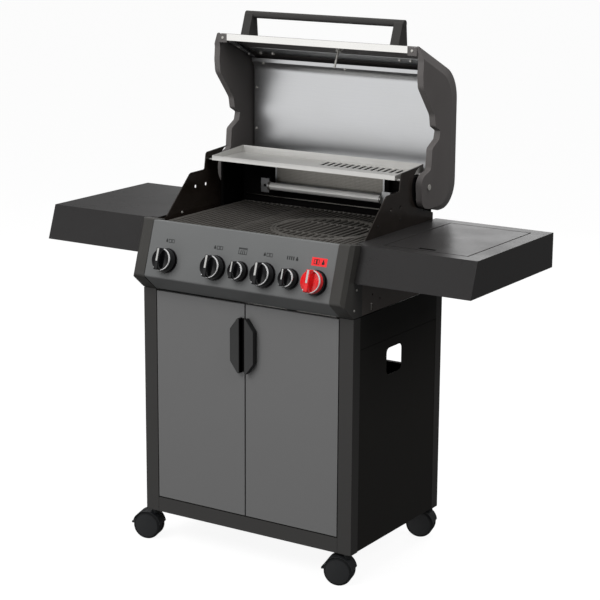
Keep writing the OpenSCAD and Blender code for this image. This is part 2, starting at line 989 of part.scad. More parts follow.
// Two end caps: flat sides with a wide bevel towards the skin, and a rim block each
module hood_caps() {
    skirt = [[300, 1437.2, 0], [566, 1318, 100], [566, 954, 75], [300, 954, 0]];
    flat = [[300, 1405, 0], [508, 1310, 92], [508, 972, 60], [300, 972, 0]];
    color("#474545")
    row_place()
        both_sides()
            difference() {
                union() {
                    intersection() {
                        along_x(hood_x, half_w)
                            polygon(smooth(cap_outline(), 10));
                        hull() {
                            along_x(hood_x - 1, hood_x + 3)
                                polygon(smooth(skirt));
                            along_x(half_w - 1, half_w)
                                polygon(smooth(flat));
                        }
                    }
                    block([rim_x, 338, 1391], [hood_x, 350, 1414]);
                }
                rod_x(hood_x - 5, half_w + 5, pivot, pivot_r + pivot_gap);
            }
}

module hood_liner() {
    color("silver")
    row_place() {
        along_x(-liner_x, liner_x)
            polygon(strip(LINER_PATH, 0, 1.2, 10));
        along_x(-rim_x, rim_x)
            polygon(under_skin(446, 494, -liner_gap, -1));
        both_sides() {
            along_x(rim_x + 6, liner_x)
                polygon(under_skin(352, 490, -11, -12.2));
            along_x(liner_x - 1.2, liner_x)
                polygon(under_skin(352, 490, -liner_gap, -12.2));
        }
    }
}

module hood_rim() {
    color("gainsboro")
    row_place() {
        block([-rim_x, 338, 1397], [rim_x, 339.5, 1416]);
        block([-rim_x, 339.5, 1397], [rim_x, 348, 1398.5]);
    }
}

module hood_handle() {
    bar = [386, 1470];
    base = [[354, skin_z(354), 0], [404, skin_z(404), 0], [396, 1474, 9], [376, 1476, 9]];
    color("#303030")
    row_place() {
        rod_x(-258, 258, bar, 10);
        both_sides()
            along_x(230, 257)
                polygon(smooth(base));
    }
}

module thermometer() {
    color("#c8c8c8")
    row_place()
        at_probe() {
            difference() {
                cylinder(h = 9, r = 32);
                translate([0, 0, 7])
                    cylinder(h = 5, r = 28);
            }
            translate([0, 0, -skin_t - 10])
                cylinder(h = 10, r = 9);
            translate([0, 0, -60])
                cylinder(h = 61, r = probe_r);
        }
}

floor_panel();
corner_posts();
side_panel_left();
side_panel_right();
back_panel();
firebox();
side_plates();
shelf_brackets();
control_panel();
panel_end_caps();
knob_bezels();
gas_manifold();
main_burners();
back_burner();
shelf_left();
shelf_right();
side_burner();
hinge_pins();
caster_sockets();
grate_left();
grate_right();
grate_insert();
warming_rack();
flame_tamers();
grease_tray();
drip_cup();
side_burner_lid();
door_left();
door_right();
door_pull_left();
door_pull_right();
hood_skin();
hood_caps();
hood_liner();
hood_rim();
hood_handle();
thermometer();
caster_fork(0, true);  // caster_fork_fl
caster_fork(1, true);  // caster_fork_fr
caster_fork(2, false);  // caster_fork_rl
caster_fork(3, false);  // caster_fork_rr
caster_wheels(0);  // caster_wheels_fl
caster_wheels(1);  // caster_wheels_fr
caster_wheels(2);  // caster_wheels_rl
caster_wheels(3);  // caster_wheels_rr
brake_lever(0);  // brake_lever_fl
brake_lever(1);  // brake_lever_fr
knob(0);  // knob_1
knob(1);  // knob_2
knob(2);  // knob_3
knob(3);  // knob_4
knob(4);  // knob_5
knob(5);  // knob_6
spindle(0);  // spindle_1
spindle(1);  // spindle_2
spindle(2);  // spindle_3
spindle(3);  // spindle_4
spindle(4);  // spindle_5
spindle(5);  // spindle_6
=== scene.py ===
"""Looks of a gas barbecue grill on a closed cart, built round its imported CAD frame.

Sizes are millimetres from the middle of the cart's front face at ground level: +X
to the cook's right, +Y to the back, +Z up.
"""

import json
import logging
import math
from dataclasses import dataclass, field
from enum import Enum
from typing import Iterable, Optional, Sequence, Union

import bmesh
import bpy
from mathutils import Matrix, Vector


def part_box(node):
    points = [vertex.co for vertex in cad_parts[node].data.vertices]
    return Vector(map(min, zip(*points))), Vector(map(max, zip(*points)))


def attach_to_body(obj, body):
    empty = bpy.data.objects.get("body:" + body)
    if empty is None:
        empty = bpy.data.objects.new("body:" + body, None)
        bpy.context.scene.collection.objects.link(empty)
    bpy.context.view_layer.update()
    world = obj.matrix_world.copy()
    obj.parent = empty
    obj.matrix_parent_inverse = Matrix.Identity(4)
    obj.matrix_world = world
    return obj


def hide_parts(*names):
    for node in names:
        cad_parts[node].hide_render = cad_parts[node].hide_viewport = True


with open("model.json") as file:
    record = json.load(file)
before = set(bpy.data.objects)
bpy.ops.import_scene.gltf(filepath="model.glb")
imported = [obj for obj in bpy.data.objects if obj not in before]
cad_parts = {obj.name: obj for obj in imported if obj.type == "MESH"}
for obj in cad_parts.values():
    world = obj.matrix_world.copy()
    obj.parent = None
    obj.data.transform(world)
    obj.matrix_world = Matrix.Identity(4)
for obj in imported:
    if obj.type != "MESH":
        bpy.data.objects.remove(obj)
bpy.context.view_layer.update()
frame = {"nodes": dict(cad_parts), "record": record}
LOG = logging.getLogger("grill")

MM = 0.001
CART_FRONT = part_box("corner_posts")[0][1]
SMOOTH_ANGLE = math.radians(32)
# How much a brushed streak's pattern is squeezed along its length.
STREAK = 0.02
# The two noises together lie between these, and run a finish from its shade to its colour.
NOISE_LOW, NOISE_HIGH = 0.7, 1.3
SIDES = {"left": -1, "right": 1}

Point = Sequence[float]
Outline = Sequence[Sequence[float]]
SocketValue = Union[float, int, bool, str, Sequence[float], bpy.types.NodeSocket]


# ---- finishes

def linear(hex_colour: str) -> tuple[float, float, float, float]:
    """Turns an sRGB hex colour into linear values.

    Args:
        hex_colour: six hex digits, such as "7b7d7d".

    Returns:
        Linear red, green, blue and an alpha of one.
    """
    values = [int(hex_colour[i:i + 2], 16) / 255 for i in (0, 2, 4)]
    red, green, blue = (v / 12.92 if v <= 0.04045 else ((v + 0.055) / 1.055) ** 2.4 for v in values)
    return red, green, blue, 1.0


def add(tree: bpy.types.NodeTree, kind: str, inputs: Optional[dict[Union[str, int], SocketValue]] = None,
        **settings: object) -> bpy.types.Node:
    """Adds one node to a tree with its settings, values and links.

    Args:
        tree: the shader or geometry tree.
        kind: the node's type name.
        inputs: a value or an output socket for each input, by name or place.
        settings: the node's own properties.

    Returns:
        The new node.
    """
    made = tree.nodes.new(kind)
    for key, value in settings.items():
        setattr(made, key, value)
    for key, value in (inputs or {}).items():
        socket = made.inputs[key]
        if isinstance(value, bpy.types.NodeSocket):
            tree.links.new(value, socket)
        else:
            socket.default_value = value
    return made


class Grain(Enum):
    """How a surface was made, which sets its pattern."""

    POWDER = "powder coat"
    BRUSHED = "brushed along x"
    CAST = "sand cast"
    MOULDED = "moulded"
    POLISHED = "polished"


@dataclass(frozen=True)
class Finish:
    """One material: a base colour, its gloss, and the pattern of its surface."""

    name: str
    colour: str
    shade: str
    roughness: float
    grain: Grain
    grain_mm: float = 1.0
    bump: float = 0.1
    metallic: float = 0.0
    ior: float = 1.5
    coat: float = 0.0
    coat_roughness: float = 0.1
    spread: float = 0.06
    anisotropic: float = 0.0
    transmission: float = 0.0
    specular: float = 0.5

    def material(self) -> bpy.types.Material:
        """Returns the material, built the first time it is asked for."""
        found = bpy.data.materials.get(self.name)
        return found or self.build()

    def build(self) -> bpy.types.Material:
        """Builds the node tree: slow colour drift, grain and roughness on Object coordinates."""
        made = bpy.data.materials.new(self.name)
        made.use_nodes = True
        made.diffuse_color = linear(self.colour)
        tree = made.node_tree
        tree.nodes.clear()
        place = add(tree, "ShaderNodeTexCoord").outputs["Object"]
        stretch = (STREAK, 1.0, 1.0) if self.grain is Grain.BRUSHED else (1.0, 1.0, 1.0)
        scaled = add(tree, "ShaderNodeMapping", {"Vector": place, "Scale": stretch}).outputs["Vector"]
        drift = add(tree, "ShaderNodeTexNoise", {"Vector": place, "Scale": 9.0, "Detail": 3.0}).outputs["Fac"]
        grain = self.grain_pattern(tree, scaled)
        mixed = add(tree, "ShaderNodeMath", {0: drift, 1: grain}, operation="ADD").outputs[0]
        span = {"Value": mixed, "From Min": NOISE_LOW, "From Max": NOISE_HIGH}
        level = add(tree, "ShaderNodeMapRange", span).outputs["Result"]
        tint = add(tree, "ShaderNodeMix", {"Factor": level}, data_type="RGBA")
        tint.inputs[6].default_value = linear(self.shade)
        tint.inputs[7].default_value = linear(self.colour)
        low, high = max(0.02, self.roughness - self.spread), self.roughness + self.spread
        gloss = add(tree, "ShaderNodeMapRange", {**span, "To Min": low, "To Max": high}).outputs["Result"]
        relief = add(tree, "ShaderNodeBump", {"Height": grain, "Strength": self.bump, "Distance": self.grain_mm * MM})
        shader = add(tree, "ShaderNodeBsdfPrincipled", {
            "Base Color": tint.outputs[2], "Roughness": gloss, "Normal": relief.outputs["Normal"],
            "Metallic": self.metallic, "IOR": self.ior, "Coat Weight": self.coat, "Coat Roughness": self.coat_roughness,
            "Anisotropic": self.anisotropic, "Transmission Weight": self.transmission,
            "Specular IOR Level": self.specular,
        })
        add(tree, "ShaderNodeOutputMaterial", {"Surface": shader.outputs["BSDF"]})
        return made

    def grain_pattern(self, tree: bpy.types.NodeTree, place: bpy.types.NodeSocket) -> bpy.types.NodeSocket:
        """Adds the surface's pattern at its real size.

        Args:
            tree: the material's tree.
            place: the coordinates to read.

        Returns:
            The socket that carries the pattern's height.
        """
        scale = 1.0 / (self.grain_mm * MM)
        if self.grain is Grain.CAST:
            lumps = add(tree, "ShaderNodeTexVoronoi", {"Vector": place, "Scale": scale * 0.5}).outputs["Distance"]
            dust = add(tree, "ShaderNodeTexNoise", {"Vector": place, "Scale": scale, "Detail": 4.0}).outputs["Fac"]
            return add(tree, "ShaderNodeMath", {0: lumps, 1: dust}, operation="MULTIPLY").outputs[0]
        detail = {Grain.POLISHED: 0.0, Grain.MOULDED: 2.0}.get(self.grain, 3.0)
        return add(tree, "ShaderNodeTexNoise", {"Vector": place, "Scale": scale, "Detail": detail}).outputs["Fac"]


# Powder coat over steel sheet: satin, with a fine orange peel about 1.5 mm across.
FRAME_COAT = Finish("charcoal_powder_coat", "302f2e", "2c2b2a", 0.5, Grain.POWDER, 1.6, 0.06, specular=0.3)
# Bare-looking warm grey coat on the plates under the shelves.
BRACKET_COAT = Finish("warm_grey_powder_coat", "625b57", "5a5450", 0.5, Grain.POWDER, 1.6, 0.06, specular=0.35)
# A darker copy of the charcoal frame coat: painted shade for the side panels' dim faces. It is used on the back panel
# and the lower door pins too.
SHADED_FRAME_COAT = Finish("charcoal_coat_with_painted_shade", "22211f", "1f1e1d", 0.55, Grain.POWDER, 1.6, 0.06, specular=0.1)
DOOR_COAT = Finish("grey_powder_coat", "626262", "5f5f5f", 0.5, Grain.POWDER, 1.4, 0.05, specular=0.35)
FASCIA_COAT = Finish("grey_satin_powder_coat", "5c5d5d", "595a5a", 0.42, Grain.POWDER, 1.4, 0.05, specular=0.4)
SHELF_COAT = Finish("slate_powder_coat", "252424", "222121", 0.32, Grain.POWDER, 1.6, 0.06, specular=0.35)
# Textured powder coat on the hood: a wrinkled grain of about 2 mm, which takes the sharpness off reflections.
HOOD_COAT = Finish("textured_powder_coat", "575453", "4f4c4b", 0.5, Grain.POWDER, 2.0, 0.16, spread=0.08, specular=0.4)
# Vitreous enamel on the firebox sides: glass over steel, so it mirrors the room with a faint waviness.
ENAMEL = Finish("black_enamel", "1d1815", "17130f", 0.2, Grain.POLISHED, 30.0, 0.02, spread=0.04, specular=0.45)
# Near-black enamel for the firebox, its burners and the back burner's box. The near-black is painted shade for where
# they lie deep under the grates, and it also stands for the shade in the door grips' recess.
SHADE_BLACK = Finish("near_black_with_painted_shade", "0d0c0c", "090808", 0.7, Grain.POWDER, 3.0, 0.15, specular=0.1)
# Brushed stainless sheet: long streaks about 0.4 mm apart, drawn at 1.2 mm so that they show.
STEEL = Finish("brushed_stainless", "d4d5d6", "cecfd1", 0.33, Grain.BRUSHED, 1.2, 0.02, metallic=1.0, anisotropic=0.3,
               spread=0.03)
STEEL_BRIGHT = Finish("polished_stainless", "f2f1ee", "ebeae7", 0.22, Grain.BRUSHED, 1.2, 0.02, metallic=1.0,
                      spread=0.03)
# Satin tube, which spreads a highlight right round it.
STEEL_SATIN = Finish("satin_stainless", "e9e8e5", "dedddb", 0.4, Grain.BRUSHED, 1.2, 0.03, metallic=0.5, spread=0.04)
STEEL_PLAIN = Finish("formed_stainless", "a7a49e", "96938d", 0.36, Grain.BRUSHED, 1.5, 0.03, metallic=1.0, spread=0.05)
# The warming rack: satin sheet, a little dulled by heat.
STEEL_RACK = Finish("rack_stainless", "d6d5d2", "c8c7c4", 0.36, Grain.BRUSHED, 1.2, 0.03, metallic=0.62, spread=0.04)
# Matte enamelled cast iron with the pits of its sand mould.
IRON = Finish("enamelled_cast_iron", "53504d", "403e3b", 0.4, Grain.CAST, 2.2, 0.3, spread=0.1, specular=0.5)
# Injection moulded parts: spark-eroded texture on the pulls and caps, gloss on the knobs.
CAP_PLASTIC = Finish("moulded_charcoal_plastic", "343331", "2f2e2c", 0.4, Grain.MOULDED, 0.9, 0.06, specular=0.4)
PULL_PLASTIC = Finish("moulded_black_plastic", "191919", "151515", 0.42, Grain.MOULDED, 0.9, 0.08)
CASTER_PLASTIC = Finish("moulded_nylon", "1f2021", "17181a", 0.5, Grain.MOULDED, 2.2, 0.3, specular=0.35)
KNOB_GLOSS = Finish("gloss_black_plastic", "0b0b0c", "08080a", 0.16, Grain.POLISHED, 20.0, 0.01)
KNOB_RED = Finish("gloss_red_plastic", "cf1418", "b90f13", 0.16, Grain.POLISHED, 20.0, 0.01, coat=0.5,
                  coat_roughness=0.05)
CHROME = Finish("chrome_plate", "ebebeb", "e2e2e2", 0.2, Grain.POLISHED, 25.0, 0.01, metallic=0.75, spread=0.03)
ZINC = Finish("zinc_plate", "cfcdc8", "bebcb6", 0.32, Grain.MOULDED, 1.5, 0.06, metallic=0.6)
TREAD = Finish("tread_rubber", "1a1b1c", "161718", 0.6, Grain.MOULDED, 1.4, 0.12, specular=0.3)
BRASS = Finish("turned_brass", "b08d4c", "9a7a3d", 0.3, Grain.BRUSHED, 1.2, 0.05, metallic=1.0)
# Screen-printed marks: thin matt ink.
RED_PRINT = Finish("red_print", "d8262b", "cf1f24", 0.4, Grain.MOULDED, 1.2, 0.03)
DARK_PRINT = Finish("dark_print", "1c1d1d", "181919", 0.5, Grain.MOULDED, 1.2, 0.03)
PALE_PRINT = Finish("pale_print", "d9d9d6", "d2d2cf", 0.45, Grain.MOULDED, 1.2, 0.03)
# Pressed glass over the dial: clear, a little green at its edge.
GLASS = Finish("pressed_glass", "f4f8f6", "eef3f0", 0.03, Grain.POLISHED, 20.0, 0.005, ior=1.52, transmission=1.0,
               spread=0.01)


# ---- mesh making

def round_corners(path: Outline, steps: int = 6) -> list[tuple[float, float]]:
    """Rounds a closed outline.

    Args:
        path: corners as (x, y) or (x, y, radius).
        steps: pieces in each rounded corner.

    Returns:
        The outline's points, with arcs in place of the rounded corners.
    """
    points: list[tuple[float, float]] = []
    for i, corner in enumerate(path):
        here = Vector(corner[:2])
        radius = corner[2] if len(corner) > 2 else 0.0
        if radius <= 0:
            points.append((here.x, here.y))
            continue
        u = (Vector(path[i - 1][:2]) - here).normalized()
        v = (Vector(path[(i + 1) % len(path)][:2]) - here).normalized()
        half = math.acos(max(-1.0, min(1.0, u.dot(v)))) / 2
        centre = here + (u + v).normalized() * radius / math.sin(half)
        start = here + u * radius / math.tan(half) - centre
        end = here + v * radius / math.tan(half) - centre
        sweep = math.remainder(math.atan2(end.y, end.x) - math.atan2(start.y, start.x), math.tau)
        first = math.atan2(start.y, start.x)
        for k in range(steps + 1):
            angle = first + sweep * k / steps
            points.append((centre.x + radius * math.cos(angle), centre.y + radius * math.sin(angle)))
    return points


def turn_to(direction: Point, at: Point) -> Matrix:
    """Returns the matrix that takes local +Z to a direction, with its origin at a point."""
    return Matrix.Translation(Vector(at)) @ Vector(direction).to_track_quat("Z", "Y").to_matrix().to_4x4()


class Form:
    """A mesh under construction, in millimetres."""

    def __init__(self) -> None:
        """Starts an empty mesh."""
        self.mesh = bmesh.new()

    def faces(self, points: Iterable[Point], loops: Iterable[Sequence[int]]) -> "Form":
        """Adds points and the faces between them."""
        verts = [self.mesh.verts.new(Vector(p)) for p in points]
        for loop in loops:
            self.mesh.faces.new([verts[i] for i in loop])
        return self

    def prism(self, outline: Outline, start: float, end: float, at: Optional[Matrix] = None) -> "Form":
        """Adds a flat outline extruded along local Z.

        Args:
            outline: points in local X and Y.
            start: the extrusion's first height.
            end: its last height.
            at: where the local frame stands.

        Returns:
            This form.
        """
        n = len(outline)
        where = at or Matrix.Identity(4)
        points = [where @ Vector((p[0], p[1], z)) for z in (start, end) for p in outline]
        loops = [list(range(n)), list(range(n, 2 * n))] + [(i, (i + 1) % n, n + (i + 1) % n, n + i) for i in range(n)]
        return self.faces(points, loops)

    def block(self, low: Point, high: Point) -> "Form":
        """Adds a box between two corners."""
        outline = [(low[0], low[1]), (high[0], low[1]), (high[0], high[1]), (low[0], high[1])]
        return self.prism(outline, low[2], high[2])

    def lathe(self, profile: Outline, at: Matrix, steps: int = 48) -> "Form":
        """Adds a profile of (radius, height) turned about local Z; it closes on the axis or on itself.

        Args:
            profile: the closed profile's points in order.
            at: where the axis stands.
            steps: facets round the axis.

        Returns:
            This form.
        """
        rings: list[list[bmesh.types.BMVert]] = []
        for radius, height in (p[:2] for p in profile):
            if radius < 1e-6:
                rings.append([self.mesh.verts.new(at @ Vector((0, 0, height)))])
                continue
            rings.append([self.mesh.verts.new(at @ Vector((
                radius * math.cos(math.tau * k / steps), radius * math.sin(math.tau * k / steps), height)))
                for k in range(steps)])
        for first, second in zip(rings, rings[1:] + rings[:1]):
            if len(first) == 1 and len(second) == 1:
                continue
            for k in range(steps):
                nxt = (k + 1) % steps
                loop = [first[0]] if len(first) == 1 else [first[k], first[nxt]]
                loop += [second[0]] if len(second) == 1 else [second[nxt], second[k]]
                self.mesh.faces.new(loop)
        return self

    def rod(self, start: Point, end: Point, radius: float, steps: int = 24) -> "Form":
        """Adds a round bar between two points."""
        line = Vector(end) - Vector(start)
        profile = [(0, 0), (radius, 0), (radius, line.length), (0, line.length)]
        return self.lathe(profile, turn_to(line, start), steps)

    def cad(self, node: str, join: float = 0.02, flat: float = 0.6) -> "Form":
        """Adds a merged copy of a CAD node's mesh.

        Args:
            node: the CAD node's name.
            join: the distance under which loose corners are one, in millimetres.
            flat: the angle in degrees under which neighbouring faces become one.

        Returns:
            This form.
        """
        source = frame["nodes"][node].data
        start = len(self.mesh.verts)
        self.mesh.from_mesh(source)
        self.mesh.verts.ensure_lookup_table()
        fresh = self.mesh.verts[start:]
        for vert in fresh:
            vert.co = Vector((vert.co.x, vert.co.y - CART_FRONT, vert.co.z)) / MM
        bmesh.ops.remove_doubles(self.mesh, verts=fresh, dist=join)
        edges = [e for e in self.mesh.edges if all(v.index == -1 or v.index >= start for v in e.verts)]
        bmesh.ops.dissolve_limit(self.mesh, angle_limit=math.radians(flat), verts=self.mesh.verts[start:], edges=edges)
        return self

    def finish(self, name: str, finish: Finish, body: str, replaces: Sequence[str] = (), bevel: float = 0.0,
               segments: int = 2, slot: str = "", recalculate: bool = True, angle: float = 30.0) -> bpy.types.Object:
        """Makes the piece: an object at the origin whose mesh is in the frame's metres.

        Args:
            name: the piece's name.
            finish: its material.
            body: the CAD body that it rides on.
            replaces: the CAD nodes that it stands for.
            bevel: width of the rounding of its edges, in millimetres.
            segments: pieces across each rounding.
            slot: the record's material slot, where it has one.
            recalculate: whether to turn all faces outwards.
            angle: edges sharper than this, in degrees, are rounded.

        Returns:
            The piece.
        """
        if recalculate:
            bmesh.ops.recalc_face_normals(self.mesh, faces=self.mesh.faces[:])
        for vert in self.mesh.verts:
            vert.co = Vector((vert.co.x * MM, vert.co.y * MM + CART_FRONT, vert.co.z * MM))
        data = bpy.data.meshes.new(name)
        self.mesh.to_mesh(data)
        self.mesh.free()
        piece = stand(name, data)
        data.materials.append(finish.material())
        data.shade_smooth()
        data.set_sharp_from_angle(angle=SMOOTH_ANGLE)
        if bevel > 0:
            soften = piece.modifiers.new("edge_rounding", "BEVEL")
            soften.width = bevel * MM
            soften.segments = segments
            soften.limit_method = "ANGLE"
            soften.angle_limit = math.radians(angle)
            soften.harden_normals = True
            soften.use_clamp_overlap = True
            bake(piece)
        attach(piece, body, replaces, slot)
        return piece


def stand(name: str, data: bpy.types.ID) -> bpy.types.Object:
    """Returns a new object that shows some data, linked into the scene."""
    made = bpy.data.objects.new(name, data)
    bpy.context.scene.collection.objects.link(made)
    return made


def bake(piece: bpy.types.Object) -> None:
    """Turns a piece's modifiers into plain mesh."""
    graph = bpy.context.evaluated_depsgraph_get()
    baked = bpy.data.meshes.new_from_object(piece.evaluated_get(graph))
    piece.modifiers.clear()
    piece.data = baked


def attach(piece: bpy.types.Object, body: str, replaces: Sequence[str] = (), slot: str = "") -> None:
    """Rides a piece on its body and reports it.

    Args:
        piece: the finished piece.
        body: the CAD body's name.
        replaces: the CAD nodes that the piece stands for.
        slot: the record's material slot, if it isn't a replaced node's; it is worked out but not used.
    """
    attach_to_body(piece, body)
    if replaces:
        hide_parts(*replaces)
        slots = {row["node"]: row["material_slot"] for row in frame["record"]["subparts"]}
        slot = slot or slots[replaces[0]]
    LOG.info("piece %s on %s: %d faces", piece.name, body, len(piece.data.polygons))


def softened(node: str, finish: Finish, body: str, bevel: float, segments: int = 2) -> bpy.types.Object:
    """Replaces a CAD node by a copy with rounded edges.

    Args:
        node: the CAD node's name.
        finish: its material.
        body: the body it rides on.
        bevel: the rounding's width in millimetres.
        segments: pieces across the rounding.

    Returns:
        The piece.
    """
    return Form().cad(node).finish(node + "_piece", finish, body, [node], bevel, segments, recalculate=False)


def both_sides(x: float, places: Outline, facing: float = 1.0) -> list[tuple[Point, Point]]:
    """Returns seats at -x and +x, each with the direction it faces: outwards, or inwards if facing is -1."""
    return [((side * x, y, z), (side * facing, 0, 0)) for side in SIDES.values() for y, z in places]


def place(point: Point) -> Vector:
    """Returns a point of the millimetre frame in the CAD frame's metres."""
    return Vector((point[0] * MM, point[1] * MM + CART_FRONT, point[2] * MM))


# ---- geometry node trees

class Growth:
    """A Geometry Nodes tree with named sizes, run once on a seed mesh and turned to plain mesh."""

    def __init__(self, name: str, sizes: Sequence[str]) -> None:
        """Starts a tree.

        Args:
            name: the tree's name.
            sizes: the names of its length inputs.
        """
        self.tree = bpy.data.node_groups.new(name, "GeometryNodeTree")
        face = self.tree.interface
        face.new_socket("Geometry", in_out="OUTPUT", socket_type="NodeSocketGeometry")
        face.new_socket("Geometry", in_out="INPUT", socket_type="NodeSocketGeometry")
        face.new_socket("Finish", in_out="INPUT", socket_type="NodeSocketMaterial")
        for size in sizes:
            face.new_socket(size, in_out="INPUT", socket_type="NodeSocketFloat")
        self.source = add(self.tree, "NodeGroupInput").outputs

    def close(self, shape: bpy.types.NodeSocket) -> "Growth":
        """Ends the tree with Realize Instances and Set Material."""
        real = add(self.tree, "GeometryNodeRealizeInstances", {"Geometry": shape}).outputs["Geometry"]
        dressed = add(self.tree, "GeometryNodeSetMaterial", {"Geometry": real, "Material": self.source["Finish"]})
        add(self.tree, "NodeGroupOutput", {"Geometry": dressed.outputs["Geometry"]})
        return self

    def math(self, operation: str, first: SocketValue, second: SocketValue) -> bpy.types.NodeSocket:
        """Returns the result of one sum on two values."""
        return add(self.tree, "ShaderNodeMath", {0: first, 1: second}, operation=operation).outputs[0]

    def grow(self, name: str, seed: bpy.types.Mesh, finish: Finish, sizes: dict[str, float], body: str,
             replaces: Sequence[str] = (), slot: str = "") -> bpy.types.Object:
        """Runs the tree on a seed mesh.

        Args:
            name: the piece's name.
            seed: points or lines in the frame's metres.
            finish: the piece's material.
            sizes: a value for each named input.
            body: the CAD body it rides on.
            replaces: the CAD nodes it stands for.
            slot: the record's material slot.

        Returns:
            The piece, as plain mesh.
        """
        piece = stand(name, seed)
        growth = piece.modifiers.new("growth", "NODES")
        values = {"Finish": finish.material(), **sizes}
        growth.node_group = self.tree
        for item in self.tree.interface.items_tree:
            if item.in_out == "INPUT" and item.name in values:
                growth[item.identifier] = values[item.name]
        bake(piece)
        piece.data.shade_smooth()
        piece.data.set_sharp_from_angle(angle=SMOOTH_ANGLE)
        attach(piece, body, replaces, slot)
        return piece


class Fastener(Enum):
    """What a fastener's head looks like, as its number of sides."""

    SCREW = 18
    NUT = 6


def fastener_growth(kind: Fastener) -> Growth:
    """Builds the tree that stands a fastener head on every seed point, turned to its "aim".

    Args:
        kind: screw or nut.

    Returns:
        The tree, with inputs Radius and Height.
    """
    growth = Growth(kind.name.lower() + "_heads", ["Radius", "Height"])
    tree, radius, height = growth.tree, growth.source["Radius"], growth.source["Height"]
    shoulder = 0.9 if kind is Fastener.SCREW else 0.98
    cone = add(tree, "GeometryNodeMeshCone", {
        "Vertices": kind.value, "Radius Bottom": radius, "Radius Top": growth.math("MULTIPLY", radius, shoulder),
        "Depth": growth.math("MULTIPLY", height, 0.6)})
    shape, top = cone.outputs["Mesh"], cone.outputs["Top"]
    for rise, scale in ((0.4, 0.72), (0.0, 0.62), (-0.5, 1.0)):
        lift = growth.math("MULTIPLY", height, rise)
        raised = add(tree, "GeometryNodeExtrudeMesh", {
            "Mesh": shape, "Selection": top, "Offset Scale": lift, "Individual": False})
        top = raised.outputs["Top"]
        shape = add(tree, "GeometryNodeScaleElements", {
            "Geometry": raised.outputs["Mesh"], "Selection": top, "Scale": scale}).outputs["Geometry"]
    aim = add(tree, "GeometryNodeInputNamedAttribute", {"Name": "aim"}, data_type="FLOAT_VECTOR").outputs["Attribute"]
    turn = add(tree, "FunctionNodeAlignRotationToVector", {"Vector": aim}, axis="Z").outputs["Rotation"]
    heads = add(tree, "GeometryNodeInstanceOnPoints", {"Points": growth.source["Geometry"], "Instance": shape,
                                                       "Rotation": turn})
    return growth.close(heads.outputs["Instances"])


def sweep_growth() -> Growth:
    """Builds the tree that sweeps a rounded bar along every seed line.

    Returns:
        The tree, with inputs Width, Height and Corner.
    """
    growth = Growth("swept_bars", ["Width", "Height", "Corner"])
    tree, source = growth.tree, growth.source
    lines = add(tree, "GeometryNodeMeshToCurve", {"Mesh": source["Geometry"]}).outputs["Curve"]
    level = add(tree, "GeometryNodeSetCurveNormal", {"Curve": lines}, mode="Z_UP").outputs["Curve"]
    outline = add(tree, "GeometryNodeCurvePrimitiveQuadrilateral", {
        "Width": source["Width"], "Height": source["Height"]})
    rounded = add(tree, "GeometryNodeFilletCurve", {
        "Curve": outline.outputs["Curve"], "Radius": source["Corner"], "Limit Radius": True, "Count": 3}, mode="POLY")
    bars = add(tree, "GeometryNodeCurveToMesh", {
        "Curve": level, "Profile Curve": rounded.outputs["Curve"], "Fill Caps": True})
    return growth.close(bars.outputs["Mesh"])


def perforated_growth() -> Growth:
    """Builds the tree that punches a hole in every face of a seed grid and gives the sheet its thickness.

    Returns:
        The tree, with inputs Open (the hole's share of a cell) and Thickness.
    """
    growth = Growth("perforated_sheet", ["Open", "Thickness"])
    tree, source = growth.tree, growth.source
    cells = add(tree, "GeometryNodeExtrudeMesh", {"Mesh": source["Geometry"], "Offset Scale": 0.0, "Individual": True})
    shrunk = add(tree, "GeometryNodeScaleElements", {
        "Geometry": cells.outputs["Mesh"], "Selection": cells.outputs["Top"], "Scale": source["Open"]})
    holed = add(tree, "GeometryNodeDeleteGeometry", {
        "Geometry": shrunk.outputs["Geometry"], "Selection": cells.outputs["Top"]}, domain="FACE")
    merged = add(tree, "GeometryNodeMergeByDistance", {"Geometry": holed.outputs["Geometry"], "Distance": 0.00001})
    round_holes = add(tree, "GeometryNodeSubdivisionSurface", {"Mesh": merged.outputs["Geometry"], "Level": 1},
                      boundary_smooth="ALL").outputs["Mesh"]
    front = add(tree, "GeometryNodeExtrudeMesh", {
        "Mesh": round_holes, "Offset Scale": source["Thickness"], "Individual": False}).outputs["Mesh"]
    back = add(tree, "GeometryNodeFlipFaces", {"Mesh": round_holes}).outputs["Mesh"]
    both = add(tree, "GeometryNodeJoinGeometry")
    tree.links.new(front, both.inputs["Geometry"])
    tree.links.new(back, both.inputs["Geometry"])
    sheet = add(tree, "GeometryNodeMergeByDistance", {"Geometry": both.outputs["Geometry"], "Distance": 0.00001})
    return growth.close(sheet.outputs["Geometry"])


GROWTHS: dict[str, Growth] = {}


def growth(name: str) -> Growth:
    """Returns a named tree, built the first time it is asked for."""
    makers = {"screw": lambda: fastener_growth(Fastener.SCREW), "nut": lambda: fastener_growth(Fastener.NUT),
              "sweep": sweep_growth, "perforated": perforated_growth}
    if name not in GROWTHS:
        GROWTHS[name] = makers[name]()
    return GROWTHS[name]


def fasteners(name: str, spots: Sequence[tuple[Point, Point]], body: str, radius: float = 4.0, height: float = 2.2,
              kind: str = "screw", finish: Finish = ZINC) -> bpy.types.Object:
    """Stands fastener heads at the given places.

    Args:
        name: the piece's name.
        spots: for each head, its seat and the direction it faces.
        body: the body that they ride on.
        radius: the head's radius in millimetres.
        height: the head's height in millimetres.
        kind: "screw" or "nut".
        finish: their material.

    Returns:
        The piece.
    """
    seed = bpy.data.meshes.new(name)
    seed.from_pydata([place(at) for at, _ in spots], [], [])
    aims = seed.attributes.new("aim", "FLOAT_VECTOR", "POINT")
    for i, (_, aim) in enumerate(spots):
        aims.data[i].vector = Vector(aim).normalized()
    return growth(kind).grow(name, seed, finish, {"Radius": radius * MM, "Height": height * MM}, body,
                             slot="fastener_steel")


